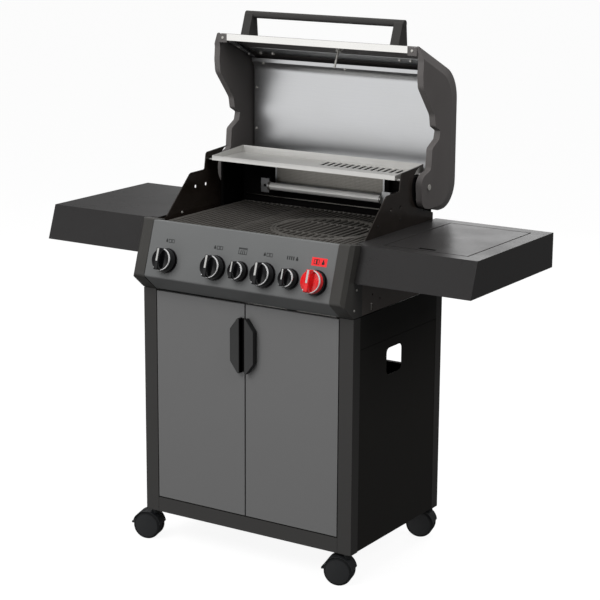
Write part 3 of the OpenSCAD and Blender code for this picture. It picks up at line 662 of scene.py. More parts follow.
def bars(name: str, paths: Sequence[Sequence[Point]], section: tuple[float, float, float], finish: Finish, body: str,
         replaces: Sequence[str] = (), slot: str = "", closed: bool = False) -> bpy.types.Object:
    """Sweeps one section along several paths.

    Args:
        name: the piece's name.
        paths: each path's points.
        section: the bar's width, height and corner radius in millimetres.
        finish: its material.
        body: the body that it rides on.
        replaces: the CAD nodes that it stands for.
        slot: the record's material slot.
        closed: whether each path ends where it starts.

    Returns:
        The piece.
    """
    points: list[Vector] = []
    edges: list[tuple[int, int]] = []
    for path in paths:
        start = len(points)
        points += [place(p) for p in path]
        edges += [(i, i + 1) for i in range(start, len(points) - 1)]
        if closed:
            edges.append((len(points) - 1, start))
    seed = bpy.data.meshes.new(name)
    seed.from_pydata(points, edges, [])
    width, height, corner = (v * MM for v in section)
    return growth("sweep").grow(name, seed, finish, {"Width": width, "Height": height, "Corner": corner}, body,
                                replaces, slot)


# ---- cart

@dataclass
class Cart:
    """Posts, panels, floor and the pins that everything turns on."""

    body: str = "cart"
    rounding: float = 0.8
    post_rounding: float = 1.6
    pin_split: float = 760.0
    back_y: float = 478.5
    panel_screws: tuple[tuple[float, float], ...] = ((-290, 118), (290, 118), (-290, 480), (290, 480), (-290, 722),
                                                     (290, 722), (0, 480), (0, 722), (0, 118))

    def build(self) -> None:
        """Dresses the cart and screws its back on."""
        softened("floor_panel", FRAME_COAT, self.body, self.rounding)
        softened("corner_posts", FRAME_COAT, self.body, self.post_rounding, 3)
        # The panels take the darker copy of the frame coat: painted shade.
        for node in ("side_panel_left", "side_panel_right", "back_panel"):
            softened(node, SHADED_FRAME_COAT, self.body, self.rounding)
        self.pins("hinge_pins_upper", ZINC, ["hinge_pins"], self.pin_split, math.inf)
        self.pins("door_pins", SHADED_FRAME_COAT, (), 0.0, self.pin_split)
        softened("caster_sockets", PULL_PLASTIC, self.body, 0.5)
        self.screws()

    def pins(self, name: str, finish: Finish, replaces: Sequence[str], low: float, high: float) -> None:
        """Dresses the pins between two heights.

        Args:
            name: the piece's name.
            finish: its material.
            replaces: the CAD nodes that it stands for.
            low: the height above which pins are kept.
            high: the height below which they are kept.
        """
        form = Form().cad("hinge_pins")
        bmesh.ops.delete(form.mesh, geom=[v for v in form.mesh.verts if not low < v.co.z < high], context="VERTS")
        form.finish(name, finish, self.body, replaces, 0.4, slot="fastener_steel")

    def screws(self) -> None:
        """Adds the screws of the back panel."""
        spots = [((x, self.back_y, z), (0, 1, 0)) for x, z in self.panel_screws]
        fasteners("back_panel_screws", spots, self.body, 4.5, 2.4)


@dataclass
class Doors:
    """Two folded doors with their half grips."""

    low: float = 135.5
    pull_z: float = 622.0
    screw_at: tuple[float, float] = (24, 1.5)
    screw_rise: float = 30.0
    # Where the near-black plate of painted recess shade lies: its x span, and its rise above and below the grip.
    recess_shade_x: tuple[float, float] = (2.6, 9.0)
    recess_shade_rise: float = 75.0
    shoe_x: tuple[float, float] = (276, 293.4)
    shoe_y: tuple[float, float] = (1.6, 17.6)
    shoe_z: tuple[float, float] = (1.6, 16.0)

    def build(self) -> None:
        """Dresses both doors, then adds the corner clips and the grip screws."""
        for name, side in SIDES.items():
            body = "door_l" if side < 0 else "door_r"
            softened("door_" + name, DOOR_COAT, body, 1.2, 3)
            softened("door_pull_" + name, PULL_PLASTIC, body, 2.2, 3)
            self.clip(name, side, body)
            # Near-black plate in the grip's recess: painted shade.
            self.recess_shade(name, side, body)
            x, y = self.screw_at
            rises = (-self.screw_rise, self.screw_rise)
            spots = [((side * x, y, self.pull_z + rise), (0, 1, 0)) for rise in rises]
            fasteners("door_pull_screws_" + name, spots, body, 4.0, 2.4)

    def recess_shade(self, name: str, side: int, body: str) -> None:
        """Adds a near-black plate over the half grip's recess out to the door's edge: painted shade for the shadowed
        recess.
        """
        x0, x1 = sorted(side * x for x in self.recess_shade_x)
        low, high = self.pull_z - self.recess_shade_rise, self.pull_z + self.recess_shade_rise
        plate = Form().block((x0, -1.2, low), (x1, -0.05, high))
        plate.finish("door_pull_recess_shade_" + name, SHADE_BLACK, body, (), 0.0, slot="pull_plastic")

    def clip(self, name: str, side: int, body: str) -> None:
        """Adds the black plastic shoe on the door's lower outer corner."""
        x0, x1 = sorted(side * x for x in self.shoe_x)
        (y0, y1), (z0, z1) = self.shoe_y, self.shoe_z
        shoe = Form().block((x0, y0, self.low + z0), (x1, y1, self.low + z1))
        shoe.finish("door_shoe_" + name, PULL_PLASTIC, body, (), 0.8, slot="pull_plastic")


# ---- control panel

@dataclass
class ControlPanel:
    """The leaning fascia with its end caps, bezels, marks and the gas train behind it."""

    body: str = "cart"
    lean: float = 72.0
    knob_y: float = -38.22
    knob_z: float = 833.76
    mark_up: float = 55.0
    ink: float = 0.12
    knob_x: tuple[float, ...] = (-232, -72, 8, 88, 168, 248)
    cap_x: float = 341.0
    cap_screws: tuple[tuple[float, float], ...] = ((1.6, 764), (13.8, 817))

    def on_face(self, x: float) -> Matrix:
        """Returns the frame on the face at a knob: +Z out of it, +Y up it."""
        return Matrix.Translation((x, self.knob_y, self.knob_z)) @ Matrix.Rotation(math.radians(self.lean), 4, "X")

    def build(self) -> None:
        """Dresses the panel and prints its marks."""
        softened("control_panel", FASCIA_COAT, self.body, 0.5)
        softened("panel_end_caps", CAP_PLASTIC, self.body, 2.5, 3)
        softened("knob_bezels", KNOB_GLOSS, self.body, 0.6)
        softened("gas_manifold", BRASS, self.body, 0.5)
        for i in range(1, 7):
            softened(f"spindle_{i}", ZINC, f"spindle_{i}_body", 0.4)
        self.marks()
        fasteners("end_cap_screws", both_sides(self.cap_x, self.cap_screws), self.body, 3.4, 1.6)

    def print_on(self, name: str, x: float, plates: Outline, finish: Finish, lift: float = 0.0) -> None:
        """Prints rectangles of ink on the face above a knob.

        Args:
            name: the piece's name.
            x: the knob's place along the panel.
            plates: rectangles as (x0, y0, x1, y1) from the mark's middle.
            finish: the ink.
            lift: how far the ink lies above the face.
        """
        form = Form()
        where = self.on_face(x) @ Matrix.Translation((0, self.mark_up, 0))
        for x0, y0, x1, y1 in plates:
            form.prism([(x0, y0), (x1, y0), (x1, y1), (x0, y1)], 0.01 + lift, lift + self.ink, where)
        form.finish(name, finish, self.body, slot="knob_plastic")

    @staticmethod
    def ring(x: float, y: float, w: float, h: float, line: float = 1.0) -> list[tuple[float, float, float, float]]:
        """Returns the four strokes of an outlined box centred at x, y."""
        a, b = w / 2, h / 2
        return [(x - a, y - b, x + a, y - b + line), (x - a, y + b - line, x + a, y + b),
                (x - a, y - b + line, x - a + line, y + b - line), (x + a - line, y - b + line, x + a, y + b - line)]

    def marks(self) -> None:
        """Prints a generic mark above each knob, and a red plate above the red one."""
        flame = [(-13, -4, -7, 2), (-11.5, 2, -8.5, 5)]
        burner = flame + self.ring(0.5, 0, 9, 10, 1.5) + self.ring(10.5, 0, 9, 10, 1.5)
        for index in (1, 2, 4):
            self.print_on(f"mark_{index}", self.knob_x[index - 1], burner, DARK_PRINT)
        grid = self.ring(0, 0, 27, 18, 1.6) + [(-12, 5, 12, 7)]
        grid += [(k * 6 - 1.1, -7.4, k * 6 + 1.1, 3) for k in (-1, 0, 1)]
        self.print_on("mark_3", self.knob_x[2], grid, DARK_PRINT)
        row = [(-20 + 6.4 * k, -5, -16.6 + 6.4 * k, 5) for k in range(4)] + [(8, -5, 15, 1), (9.6, 1, 13.4, 5)]
        self.print_on("mark_5", self.knob_x[4], row, DARK_PRINT)
        self.print_on("mark_6_plate", self.knob_x[5], [(-23.5, -11, 23.5, 11)], RED_PRINT)
        dark = self.ring(-8, 0, 17, 13, 1.6) + [(-10, -6, -6, 6), (8, -6, 16, 1), (10, 1, 14, 6)]
        self.print_on("mark_6", self.knob_x[5], dark, DARK_PRINT, self.ink)


@dataclass
class Knob:
    """A gloss knob: drum, full-width grip, chrome arc and pointer."""

    index: int
    panel: ControlPanel
    bore: float = 3.3
    low: float = 6.0
    arc_section: tuple[float, float, float] = (4.8, 3.6, 1.7)
    arc_start: float = -128.0
    arc_sweep: float = 208.0
    sizes: dict[bool, tuple[float, float, float, float]] = field(default_factory=lambda: {
        True: (32.0, 30.0, 48.0, 7.0), False: (25.5, 26.0, 43.0, 6.0)})

    def build(self) -> None:
        """Builds the knob's moulding, arc and pointer."""
        big = self.index in (1, 2, 4, 6)
        radius, face, crest, half = self.sizes[big]
        body = f"knob_{self.index}_body"
        where = self.panel.on_face(self.panel.knob_x[self.index - 1])
        cap = KNOB_RED if self.index == 6 else KNOB_GLOSS
        low, bore = self.low, self.bore
        waist = 14.0 if self.index == 6 else 21.0
        drum = [(bore, low), (radius - 0.6, low), (radius, low + 0.8), (radius, waist), (radius - 1.4, waist + 1.2)]
        top = [(radius - 2.2, face - 1.2), (radius - 4.6, face - 1.0), (radius - 5.6, face - 1.8),
               (radius - 7.0, face - 0.9), (bore, face - 0.6)]
        if self.index == 6:
            seam = waist + 1.6
            skirt = Form().lathe(drum + [(radius - 1.4, seam), (bore, seam)], where, 64)
            skirt.finish("knob_6_skirt", KNOB_GLOSS, body, (), slot="knob_plastic")
            shell = Form().lathe([(bore, seam), (radius - 0.9, seam), (radius - 0.9, face - 2.8)] + top, where, 64)
        else:
            shell = Form().lathe(drum + [(radius - 1.4, face - 2.6)] + top, where, 64)
        self.grip(shell, where, radius, face, crest, half)
        shell.finish(f"knob_{self.index}_moulding", cap, body, [f"knob_{self.index}"], 0.0)
        self.ring(where, radius, face, body)
        self.pointer(where, radius, crest, half, body)

    def grip(self, form: Form, where: Matrix, radius: float, face: float, crest: float, half: float) -> None:
        """Adds the grip: a bar right across the face with rounded shoulders and ends.

        Args:
            form: the knob's mesh.
            where: the knob's frame.
            radius: the knob's radius.
            face: height of the flat face.
            crest: height of the grip's top.
            half: half of the grip's width.
        """
        end = radius - 2.2
        section = round_corners([(-half, face - 1.4), (half, face - 1.4), (half - 0.6, crest - 0.5, 2.4),
                                 (-half + 0.6, crest - 0.5, 2.4)], 4)
        rings = []
        stations = ((-end, 3.2), (-end + 1.0, 1.2), (-end + 2.6, 0.0), (end - 2.6, 0.0), (end - 1.0, 1.2), (end, 3.2))
        for y, drop in stations:
            shrink = 1 - drop * 0.05
            rings.append([where @ Vector((x * shrink, y, min(z, crest - 0.5 - drop))) for x, z in section])
        n = len(section)
        points = [p for ring in rings for p in ring]
        loops: list[list[int]] = [list(range(n)), [len(points) - n + i for i in range(n)]]
        for k in range(len(rings) - 1):
            loops += [[k * n + i, k * n + (i + 1) % n, (k + 1) * n + (i + 1) % n, (k + 1) * n + i] for i in range(n)]
        form.faces(points, loops)

    def ring(self, where: Matrix, radius: float, face: float, body: str) -> None:
        """Sweeps the chrome arc let into the face's edge, open where the grip's upper end meets it."""
        reach, steps = radius - 3.0, 32
        angles = (math.radians(self.arc_start + self.arc_sweep * k / steps) for k in range(steps + 1))
        path = [where @ Vector((reach * math.cos(a), reach * math.sin(a), face - 0.3)) for a in angles]
        bars(f"knob_{self.index}_arc", [path], self.arc_section, CHROME, body, slot="knob_plastic")

    def pointer(self, where: Matrix, radius: float, crest: float, half: float, body: str) -> None:
        """Adds the bright pointer let into the grip's crest, from below the middle to the upper end."""
        wide, low, high = half - 4.0, -self.low, radius - 3.6
        outline = round_corners([(-wide, low, 1.2), (wide, low, 1.2), (wide, high, 1.0), (-wide, high, 1.0)], 3)
        Form().prism(outline, crest - 1.4, crest - 0.15, where).finish(
            f"knob_{self.index}_pointer", STEEL_BRIGHT, body, (), 0.4, slot="knob_plastic")


# ---- firebox

@dataclass
class Firebox:
    """Tub, enamelled side plates, burners and the back burner with its guard."""

    body: str = "cart"
    mesh_low: tuple[float, float] = (-184, 988)
    mesh_high: tuple[float, float] = (173, 1046)
    mesh_y: float = 430.6
    pitch: float = 4.2
    guard: tuple[float, float] = (400, 981)
    guard_r: float = 10.9
    guard_x: float = 188.0
    screw_x: float = 318.5
    screws: tuple[tuple[float, float], ...] = ((151, 929), (399, 935))
    plug_x: float = 321.4
    plugs: tuple[tuple[float, float], ...] = ((150, 960), (268, 960), (399, 966))
    back_y: float = 448.0
    back_x: tuple[float, ...] = (-280, 0, 280)
    back_z: tuple[float, ...] = (1035, 860)
    rail_x: float = 300.0
    rail: tuple[float, float] = (440, 943)
    box_low: tuple[float, float, float] = (-190, 431.6, 985)
    box_high: tuple[float, float, float] = (190, 445.9, 1050)
    rim_y: tuple[float, float] = (429.6, 431.5)
    hole: tuple[float, float] = (201.5, 982)
    hole_r: float = 4.2
    bracket: tuple[tuple[float, float], ...] = ((188, 962), (215, 962), (215, 1003), (188, 1003))
    bracket_y: tuple[float, float] = (396, 398.5)

    def build(self) -> None:
        """Builds the firebox and what it holds."""
        # Firebox and burners in near-black enamel: painted shade deep under the grates.
        softened("firebox", SHADE_BLACK, self.body, 0.6)
        softened("side_plates", ENAMEL, self.body, 1.0, 3)
        softened("main_burners", SHADE_BLACK, self.body, 0.5)
        softened("flame_tamers", ENAMEL, "flame_tamers_body", 0.3)
        softened("grease_tray", STEEL_PLAIN, "grease_tray_body", 0.4)
        softened("drip_cup", STEEL_PLAIN, "drip_cup_body", 0.4)
        self.back_burner()
        fasteners("side_plate_screws", both_sides(self.screw_x, self.screws, -1.0), self.body, 3.6, 2.0)
        fasteners("side_plate_plugs", both_sides(self.plug_x, self.plugs), self.body, 3.6, 1.0, finish=PULL_PLASTIC)
        back = [((x, self.back_y, z), (0, 1, 0)) for x in self.back_x for z in self.back_z]
        fasteners("firebox_back_screws", back, self.body, 4.5, 2.4)
        left, right = ((side * self.rail_x, *self.rail) for side in SIDES.values())
        Form().rod(left, right, 2.2).finish("rear_rail", STEEL_PLAIN, self.body, slot="burner_steel")

    def back_burner(self) -> None:
        """Builds the burner's box, its perforated face, the guard tube and the brackets."""
        box = Form().block(self.box_low, self.box_high)
        # The box behind the perforated face is near-black: painted shade seen through the holes.
        box.finish("back_burner_box", SHADE_BLACK, self.body, ["back_burner"], 0.8)
        x0, z0 = self.mesh_low
        x1, z1 = self.mesh_high
        frame_bar = [(x0 - 4, z0 - 3), (x1 + 4, z0 - 3), (x1 + 4, z0 + 1.5), (x0 - 4, z0 + 1.5)]
        rim = Form()
        for outline in (frame_bar, [(x, z + z1 - z0 + 1.5) for x, z in frame_bar],
                        [(x0 - 4, z0), (x0 + 1.5, z0), (x0 + 1.5, z1), (x0 - 4, z1)],
                        [(x1 - 1.5, z0), (x1 + 4, z0), (x1 + 4, z1), (x1 - 1.5, z1)]):
            rim.faces([(x, y, z) for y in self.rim_y for x, z in outline],
                      [(0, 1, 2, 3), (4, 5, 6, 7), (0, 1, 5, 4), (1, 2, 6, 5), (2, 3, 7, 6), (3, 0, 4, 7)])
        rim.finish("burner_face_rim", STEEL, self.body, (), 0.3, slot="burner_steel")
        columns, rows = round((x1 - x0) / self.pitch), round((z1 - z0) / self.pitch)
        points = [place((x0 + (x1 - x0) * i / columns, self.mesh_y, z0 + (z1 - z0) * k / rows))
                  for k in range(rows + 1) for i in range(columns + 1)]
        across = columns + 1
        corners = (k * across + i for k in range(rows) for i in range(columns))
        faces = [(c, c + 1, c + 1 + across, c + across) for c in corners]
        seed = bpy.data.meshes.new("burner_face")
        seed.from_pydata(points, [], faces)
        growth("perforated").grow("burner_face", seed, STEEL_PLAIN, {"Open": 0.5, "Thickness": 0.8 * MM}, self.body,
                                  slot="burner_steel")
        y, z = self.guard
        end, wide = self.guard_x - 1, 2 * self.guard_r
        bars("guard_tube", [[(-end, y, z), (end, y, z)]], (wide, wide, self.guard_r), STEEL_SATIN, self.body,
             slot="burner_steel")
        collars, wide = Form(), self.guard_r + 3.4
        for side in SIDES.values():
            collars.lathe([(0, 0), (wide, 0), (wide, 1.6), (self.guard_r + 0.6, 6), (0, 6)],
                          turn_to((-side, 0, 0), (side * self.guard_x, y, z)), 40)
        collars.finish("guard_collars", STEEL_BRIGHT, self.body, (), 0.3, slot="burner_steel")
        self.brackets()

    def brackets(self) -> None:
        """Builds the two steel brackets that carry the guard, each with a hole."""
        form, sides, outer = Form(), 20, self.bracket
        x0, z0 = self.hole
        turns = [math.tau * k / sides for k in range(sides)]
        hole = tuple((x0 + self.hole_r * math.cos(a), z0 + self.hole_r * math.sin(a)) for a in turns)
        for side in SIDES.values():
            ring = [min(range(4), key=lambda c: (outer[c][0] - x) ** 2 + (outer[c][1] - z) ** 2) for x, z in hole]
            points = [(side * x, y, z) for y in self.bracket_y for x, z in outer + hole]
            loops: list[list[int]] = []
            for base in (0, sides + 4):
                for k in range(sides):
                    nxt = (k + 1) % sides
                    loop = [base + ring[k], base + 4 + k, base + 4 + nxt]
                    if ring[nxt] != ring[k]:
                        loop.append(base + ring[nxt])
                    loops.append(loop)
            for first, count in ((0, 4), (4, sides)):
                ends = [(first + k, first + (k + 1) % count) for k in range(count)]
                loops += [[a, b, sides + 4 + b, sides + 4 + a] for a, b in ends]
            form.faces(points, loops)
            left, right = sorted((side * 212.5, side * 215))
            form.block((left, 398.4, 975), (right, 445.9, 1000))
        form.finish("guard_brackets", STEEL, self.body, (), 0.0, slot="burner_steel")


@dataclass
class Grates:
    """Cast grates: a frame, rounded bars from front to back and ribs across below them."""

    top: float = 925.0
    y0: float = 30.0
    y1: float = 436.0
    pitch: float = 16.0
    bar: tuple[float, float, float] = (5.8, 8.0, 2.4)
    edge: float = 9.0
    insert_pitch: float = 20.0
    centre: tuple[float, float] = (122, 205)
    hole: float = 142.0
    insert_reach: float = 134.5

    def build(self) -> None:
        """Builds both grates and the round one."""
        self.grate("grate_left", "grate_left_body", -298, -78, False)
        self.grate("grate_right", "grate_right_body", -75, 298, True)
        self.insert()

    def cut(self, x: float, holed: bool) -> list[tuple[float, float]]:
        """Returns the stretches of y that a bar at x fills."""
        low, high = self.y0 + 2, self.y1 - 2
        reach = self.hole + 3
        off = x - self.centre[0]
        if not holed or abs(off) >= reach:
            return [(low, high)]
        half = math.sqrt(reach ** 2 - off ** 2)
        return [(a, b) for a, b in ((low, self.centre[1] - half), (self.centre[1] + half, high)) if b > a + 2]

    def grate(self, node: str, body: str, x0: float, x1: float, holed: bool) -> None:
        """Builds one grate.

        Args:
            node: the CAD node that it replaces.
            body: the body it rides on.
            x0: its left edge.
            x1: its right edge.
            holed: whether it has the round opening.
        """
        count = int((x1 - x0 - self.edge) // self.pitch)
        first = (x0 + x1) / 2 - (count - 1) / 2 * self.pitch
        z = self.top - 4
        places = (first + i * self.pitch for i in range(count))
        lines = [[(x, a, z), (x, b, z)] for x in places for a, b in self.cut(x, holed)]
        bars(node + "_bars", lines, self.bar, IRON, body, [node])
        inset = self.edge / 2
        z = self.top - 6.2
        corners = [(x0 + inset, self.y0 + inset, z), (x1 - inset, self.y0 + inset, z), (x1 - inset, self.y1 - inset, z),
                   (x0 + inset, self.y1 - inset, z)]
        bars(node + "_frame", [corners], (self.edge, 11.6, 2.4), IRON, body, slot="grate_iron", closed=True)
        ribs = []
        for k in (1, 2):
            y = self.y0 + k * (self.y1 - self.y0) / 3
            reach = self.hole + 3
            half = math.sqrt(max(0.0, reach ** 2 - (y - self.centre[1]) ** 2)) if holed else 0.0
            gap = [] if half == 0 else [self.centre[0] - half, self.centre[0] + half]
            ends = [x0 + 3, *gap, x1 - 3]
            spans = list(zip(ends[::2], ends[1::2]))
            ribs += [[(a, y, self.top - 8), (b, y, self.top - 8)] for a, b in spans if b > a + 2]
        bars(node + "_ribs", ribs, (7.5, 7.5, 1.5), IRON, body, slot="grate_iron")
        if holed:
            rim = [(132, 913), (149, 913), (149, 923.6), (147.6, 925), (142.2, 925), (141, 923.8), (141, 917),
                   (132, 917)]
            where = Matrix.Translation((self.centre[0], self.centre[1], 0))
            Form().lathe(rim, where, 96).finish(node + "_rim", IRON, body, slot="grate_iron")

    def insert(self) -> None:
        """Builds the round lift-out grate."""
        body, depth = "grate_insert_body", 7.5
        where = Matrix.Translation((self.centre[0], self.centre[1], 0))
        ring = [(132, 917.5), (140, 917.5), (140, 923.8), (138.8, 925), (133.2, 925), (132, 923.8)]
        Form().lathe(ring, where, 96).finish("grate_insert_ring", IRON, body, ["grate_insert"])
        z = self.top - depth / 2
        lines = []
        mid_x, mid_y = self.centre
        count = int(2 * 134 // self.insert_pitch)
        for i in range(count + 1):
            off = (i - count / 2) * self.insert_pitch
            half = math.sqrt(self.insert_reach ** 2 - off ** 2) if abs(off) < 132 else 0
            if half > 6:
                lines.append([(mid_x + off, mid_y - half, z), (mid_x + off, mid_y + half, z)])
        bars("grate_insert_bars", lines, (7, depth, 2.6), IRON, body, slot="grate_iron")
        rib_y, rib_z = 70, 920.2
        half = math.sqrt(self.insert_reach ** 2 - rib_y ** 2)
        ribs = [[(mid_x - half, mid_y + y, rib_z), (mid_x + half, mid_y + y, rib_z)] for y in (-rib_y, rib_y)]
        bars("grate_insert_ribs", ribs, (7.5, 5.2, 1.5), IRON, body, slot="grate_iron")


# ---- hood

@dataclass
class Hood:
    """Skin, end caps, liner, rim strip, handle and thermometer, drawn open."""

    body: str = "hood"
    slope: float = math.atan2(97, 214)
    probe: tuple[float, float] = (40, 404)
    dial_r: float = 32.0
    edge_x: float = 308.0
    rim_screw: tuple[float, float] = (338, 1404)
    lip_screws: tuple[float, ...] = (372, 418, 470)
    baffle_screws: tuple[float, ...] = (-276, 2, 276)
    liner_screws: tuple[float, ...] = (1246, 1126)
    handle_nuts: tuple[tuple[float, float], ...] = ((-277, 486), (-234, 486), (201, 462), (236, 462))

    def skin_z(self, y: float) -> float:
        """Returns the height of the skin's outer face on the flat behind the rim."""
        return 1415 - (y - 352) * math.tan(self.slope)

    def under(self, y: float, drop: float) -> float:
        """Returns a height measured down from the skin's inner face."""
        return self.skin_z(y) - 2 / math.cos(self.slope) - drop

    def build(self) -> None:
        """Dresses the hood, then adds its fasteners and the thermometer."""
        softened("hood_skin", HOOD_COAT, self.body, 0.6)
        softened("hood_caps", HOOD_COAT, self.body, 3.0, 4)
        softened("hood_liner", STEEL, self.body, 0.4)
        softened("hood_rim", STEEL_BRIGHT, self.body, 0.3)
        softened("hood_handle", FRAME_COAT, self.body, 3.0, 4)
        self.screws()
        self.thermometer()

    def screws(self) -> None:
        """Adds the screws and nuts inside the hood and under its handle."""
        down = (0, -math.sin(self.slope), -math.cos(self.slope))
        spots = [((side * self.edge_x, *self.rim_screw), (0, -1, 0)) for side in (-1, 1)]
        spots += [((side * self.edge_x, y, self.under(y, 12)), down) for side in (-1, 1) for y in self.lip_screws]
        spots += [((x, 498.4, 1320), (0, -1, -0.25)) for x in self.baffle_screws]
        spots += [((side * self.edge_x, 511.4, z), (0, -1, 0)) for side in (-1, 1) for z in self.liner_screws]
        fasteners("hood_screws", spots, self.body, 4.2, 2.4)
        nuts = [((x, y, self.under(y, 0.9)), down) for x, y in self.handle_nuts]
        fasteners("handle_nuts", nuts, self.body, 5.2, 4.0, "nut")

    def thermometer(self) -> None:
        """Builds the thermometer: chrome case, pale dial with ticks, needle, glass, nut and probe."""
        x, y = self.probe
        where = Matrix.Translation((x, y, self.skin_z(y))) @ Matrix.Rotation(-self.slope, 4, "X")
        r = self.dial_r
        case = [(0, 0.02), (r - 1, 0.02), (r, 1.2), (r, 7.2), (r - 1.6, 8.8), (r - 3.2, 8.8), (r - 4, 7.8),
                (r - 4, 4), (0, 4)]
        form = Form().lathe(case, where, 72)
        form.finish("thermometer_case", CHROME, self.body, ["thermometer"])
        stem = Form().lathe([(0, -60), (2.2, -60), (3, -59), (3, -12), (0, -12)], where, 24)
        stem.lathe([(0, -12), (9, -12), (9, -2.05), (0, -2.05)], where, 6)
        stem.lathe([(0, -3.4), (13, -3.4), (13, -2.02), (0, -2.02)], where, 32)
        stem.finish("thermometer_probe", ZINC, self.body, (), 0.4, slot="fastener_steel")
        Form().lathe([(0, 4), (r - 4.2, 4), (r - 4.2, 4.6), (0, 4.6)], where, 64).finish(
            "thermometer_dial", PALE_PRINT, self.body, slot="fastener_steel")
        ticks, needle = Form(), Form()
        for k in range(31):
            turn = where @ Matrix.Rotation(math.radians(135 - 9 * k), 4, "Z")
            long = 5.5 if k % 5 == 0 else 3.0
            wide = 0.5 if k % 5 == 0 else 0.3
            ticks.prism([(-wide, r - 6 - long), (wide, r - 6 - long), (wide, r - 6), (-wide, r - 6)], 4.61, 4.75, turn)
        ticks.finish("thermometer_ticks", DARK_PRINT, self.body, slot="fastener_steel")
        turn = where @ Matrix.Rotation(math.radians(128), 4, "Z")
        needle.prism([(-1.4, -6), (1.4, -6), (0.3, r - 10), (-0.3, r - 10)], 5.2, 5.7, turn)
        needle.lathe([(0, 4.7), (2.8, 4.7), (2.8, 6.4), (0, 6.4)], where, 24)
        needle.finish("thermometer_needle", RED_PRINT, self.body, slot="fastener_steel")
        Form().lathe([(0, 7.4), (r - 4.05, 7.4), (r - 4.05, 7.9), (0, 8.6)], where, 64).finish(
            "thermometer_glass", GLASS, self.body, slot="fastener_steel")


# ---- shelves

@dataclass
class Shelves:
    """Both shelves, their brackets, the side burner and its flush lid."""

    body: str = "cart"

    def build(self) -> None:
        """Dresses the shelves, their brackets and the side burner."""
        for name in SIDES:
            softened("shelf_" + name, SHELF_COAT, self.body, 1.6, 3)
        softened("shelf_brackets", BRACKET_COAT, self.body, 0.8)
        softened("side_burner", ENAMEL, self.body, 0.5)
        softened("side_burner_lid", SHELF_COAT, "burner_lid", 0.9)


# ---- casters

@dataclass
class Caster:
    """One twin-wheel caster: fork, two wheels on an axle, and a brake on the front ones."""

    corner: str
    radius: float = 40.0
    web: float = 4.0
    outer: float = 22.0
    trail: float = 22.0
    turn: float = 195.0
    front_stem: tuple[float, float] = (321, 17.5)
    rear_stem: tuple[float, float] = (323, 461.5)

    def build(self) -> None:
        """Builds the fork, the wheels and the brake lever."""
        softened("caster_fork_" + self.corner, CASTER_PLASTIC, "caster_" + self.corner, 1.2, 3)
        self.wheels()
        if self.corner[0] == "f":
            softened("brake_lever_" + self.corner, PULL_PLASTIC, "brake_" + self.corner, 1.2, 3)

    def wheels(self) -> None:
        """Builds two wheels, each a tread round a raised hub disc, on one axle."""
        x, y = self.rear_stem if self.corner[0] == "r" else self.front_stem
        x = x if self.corner[1] == "r" else -x
        stem = Matrix.Translation((x, y, 0)) @ Matrix.Rotation(math.radians(self.turn), 4, "Z")
        axle = stem @ Matrix.Translation((self.trail, 0, self.radius)) @ Matrix.Rotation(math.radians(90), 4, "X")
        r, low, high = self.radius - 0.01, self.web + 1, self.outer
        tyre, hubs = Form(), Form()
        tread = [(r - 12, low), (r - 1.6, low), (r, low + 2), (r, high - 4.5), (r - 0.8, high - 2.4), (r - 3, high - 1),
                 (r - 5, high - 0.6), (r - 5.4, high - 1.6), (r - 12, high - 2)]
        disc = [(0, low), (r - 11.9, low), (r - 11.9, high - 2.2), (r - 5.6, high - 1.6), (r - 6, high - 0.5),
                (r - 8, high - 0.15), (0, high - 0.05)]
        for mirror in (0, 1):
            where = axle @ Matrix.Rotation(math.pi * mirror, 4, "X")
            tyre.lathe(tread, where, 72)
            hubs.lathe(disc, where, 56)
        hubs.rod(axle @ Vector((0, 0, -self.web - 2)), axle @ Vector((0, 0, self.web + 2)), 3.0)
        body = "wheels_" + self.corner
        tyre.finish("caster_tyres_" + self.corner, TREAD, body, ["caster_wheels_" + self.corner])
        hubs.finish("caster_hubs_" + self.corner, CASTER_PLASTIC, body, slot="caster_plastic")


# ---- studio

@dataclass(frozen=True)
class Glow:
    """A soft patch of light on the studio's walls."""

    toward: tuple[float, float, float]
    start: float
    full: float
    strength: float


@dataclass(frozen=True)
class SoftBox:
    """A rectangular lamp: its place, the point it faces and its size in metres, and its power."""

    name: str
    at: tuple[float, float, float]
    aim: tuple[float, float, float]
    size: tuple[float, float]
    watts: float


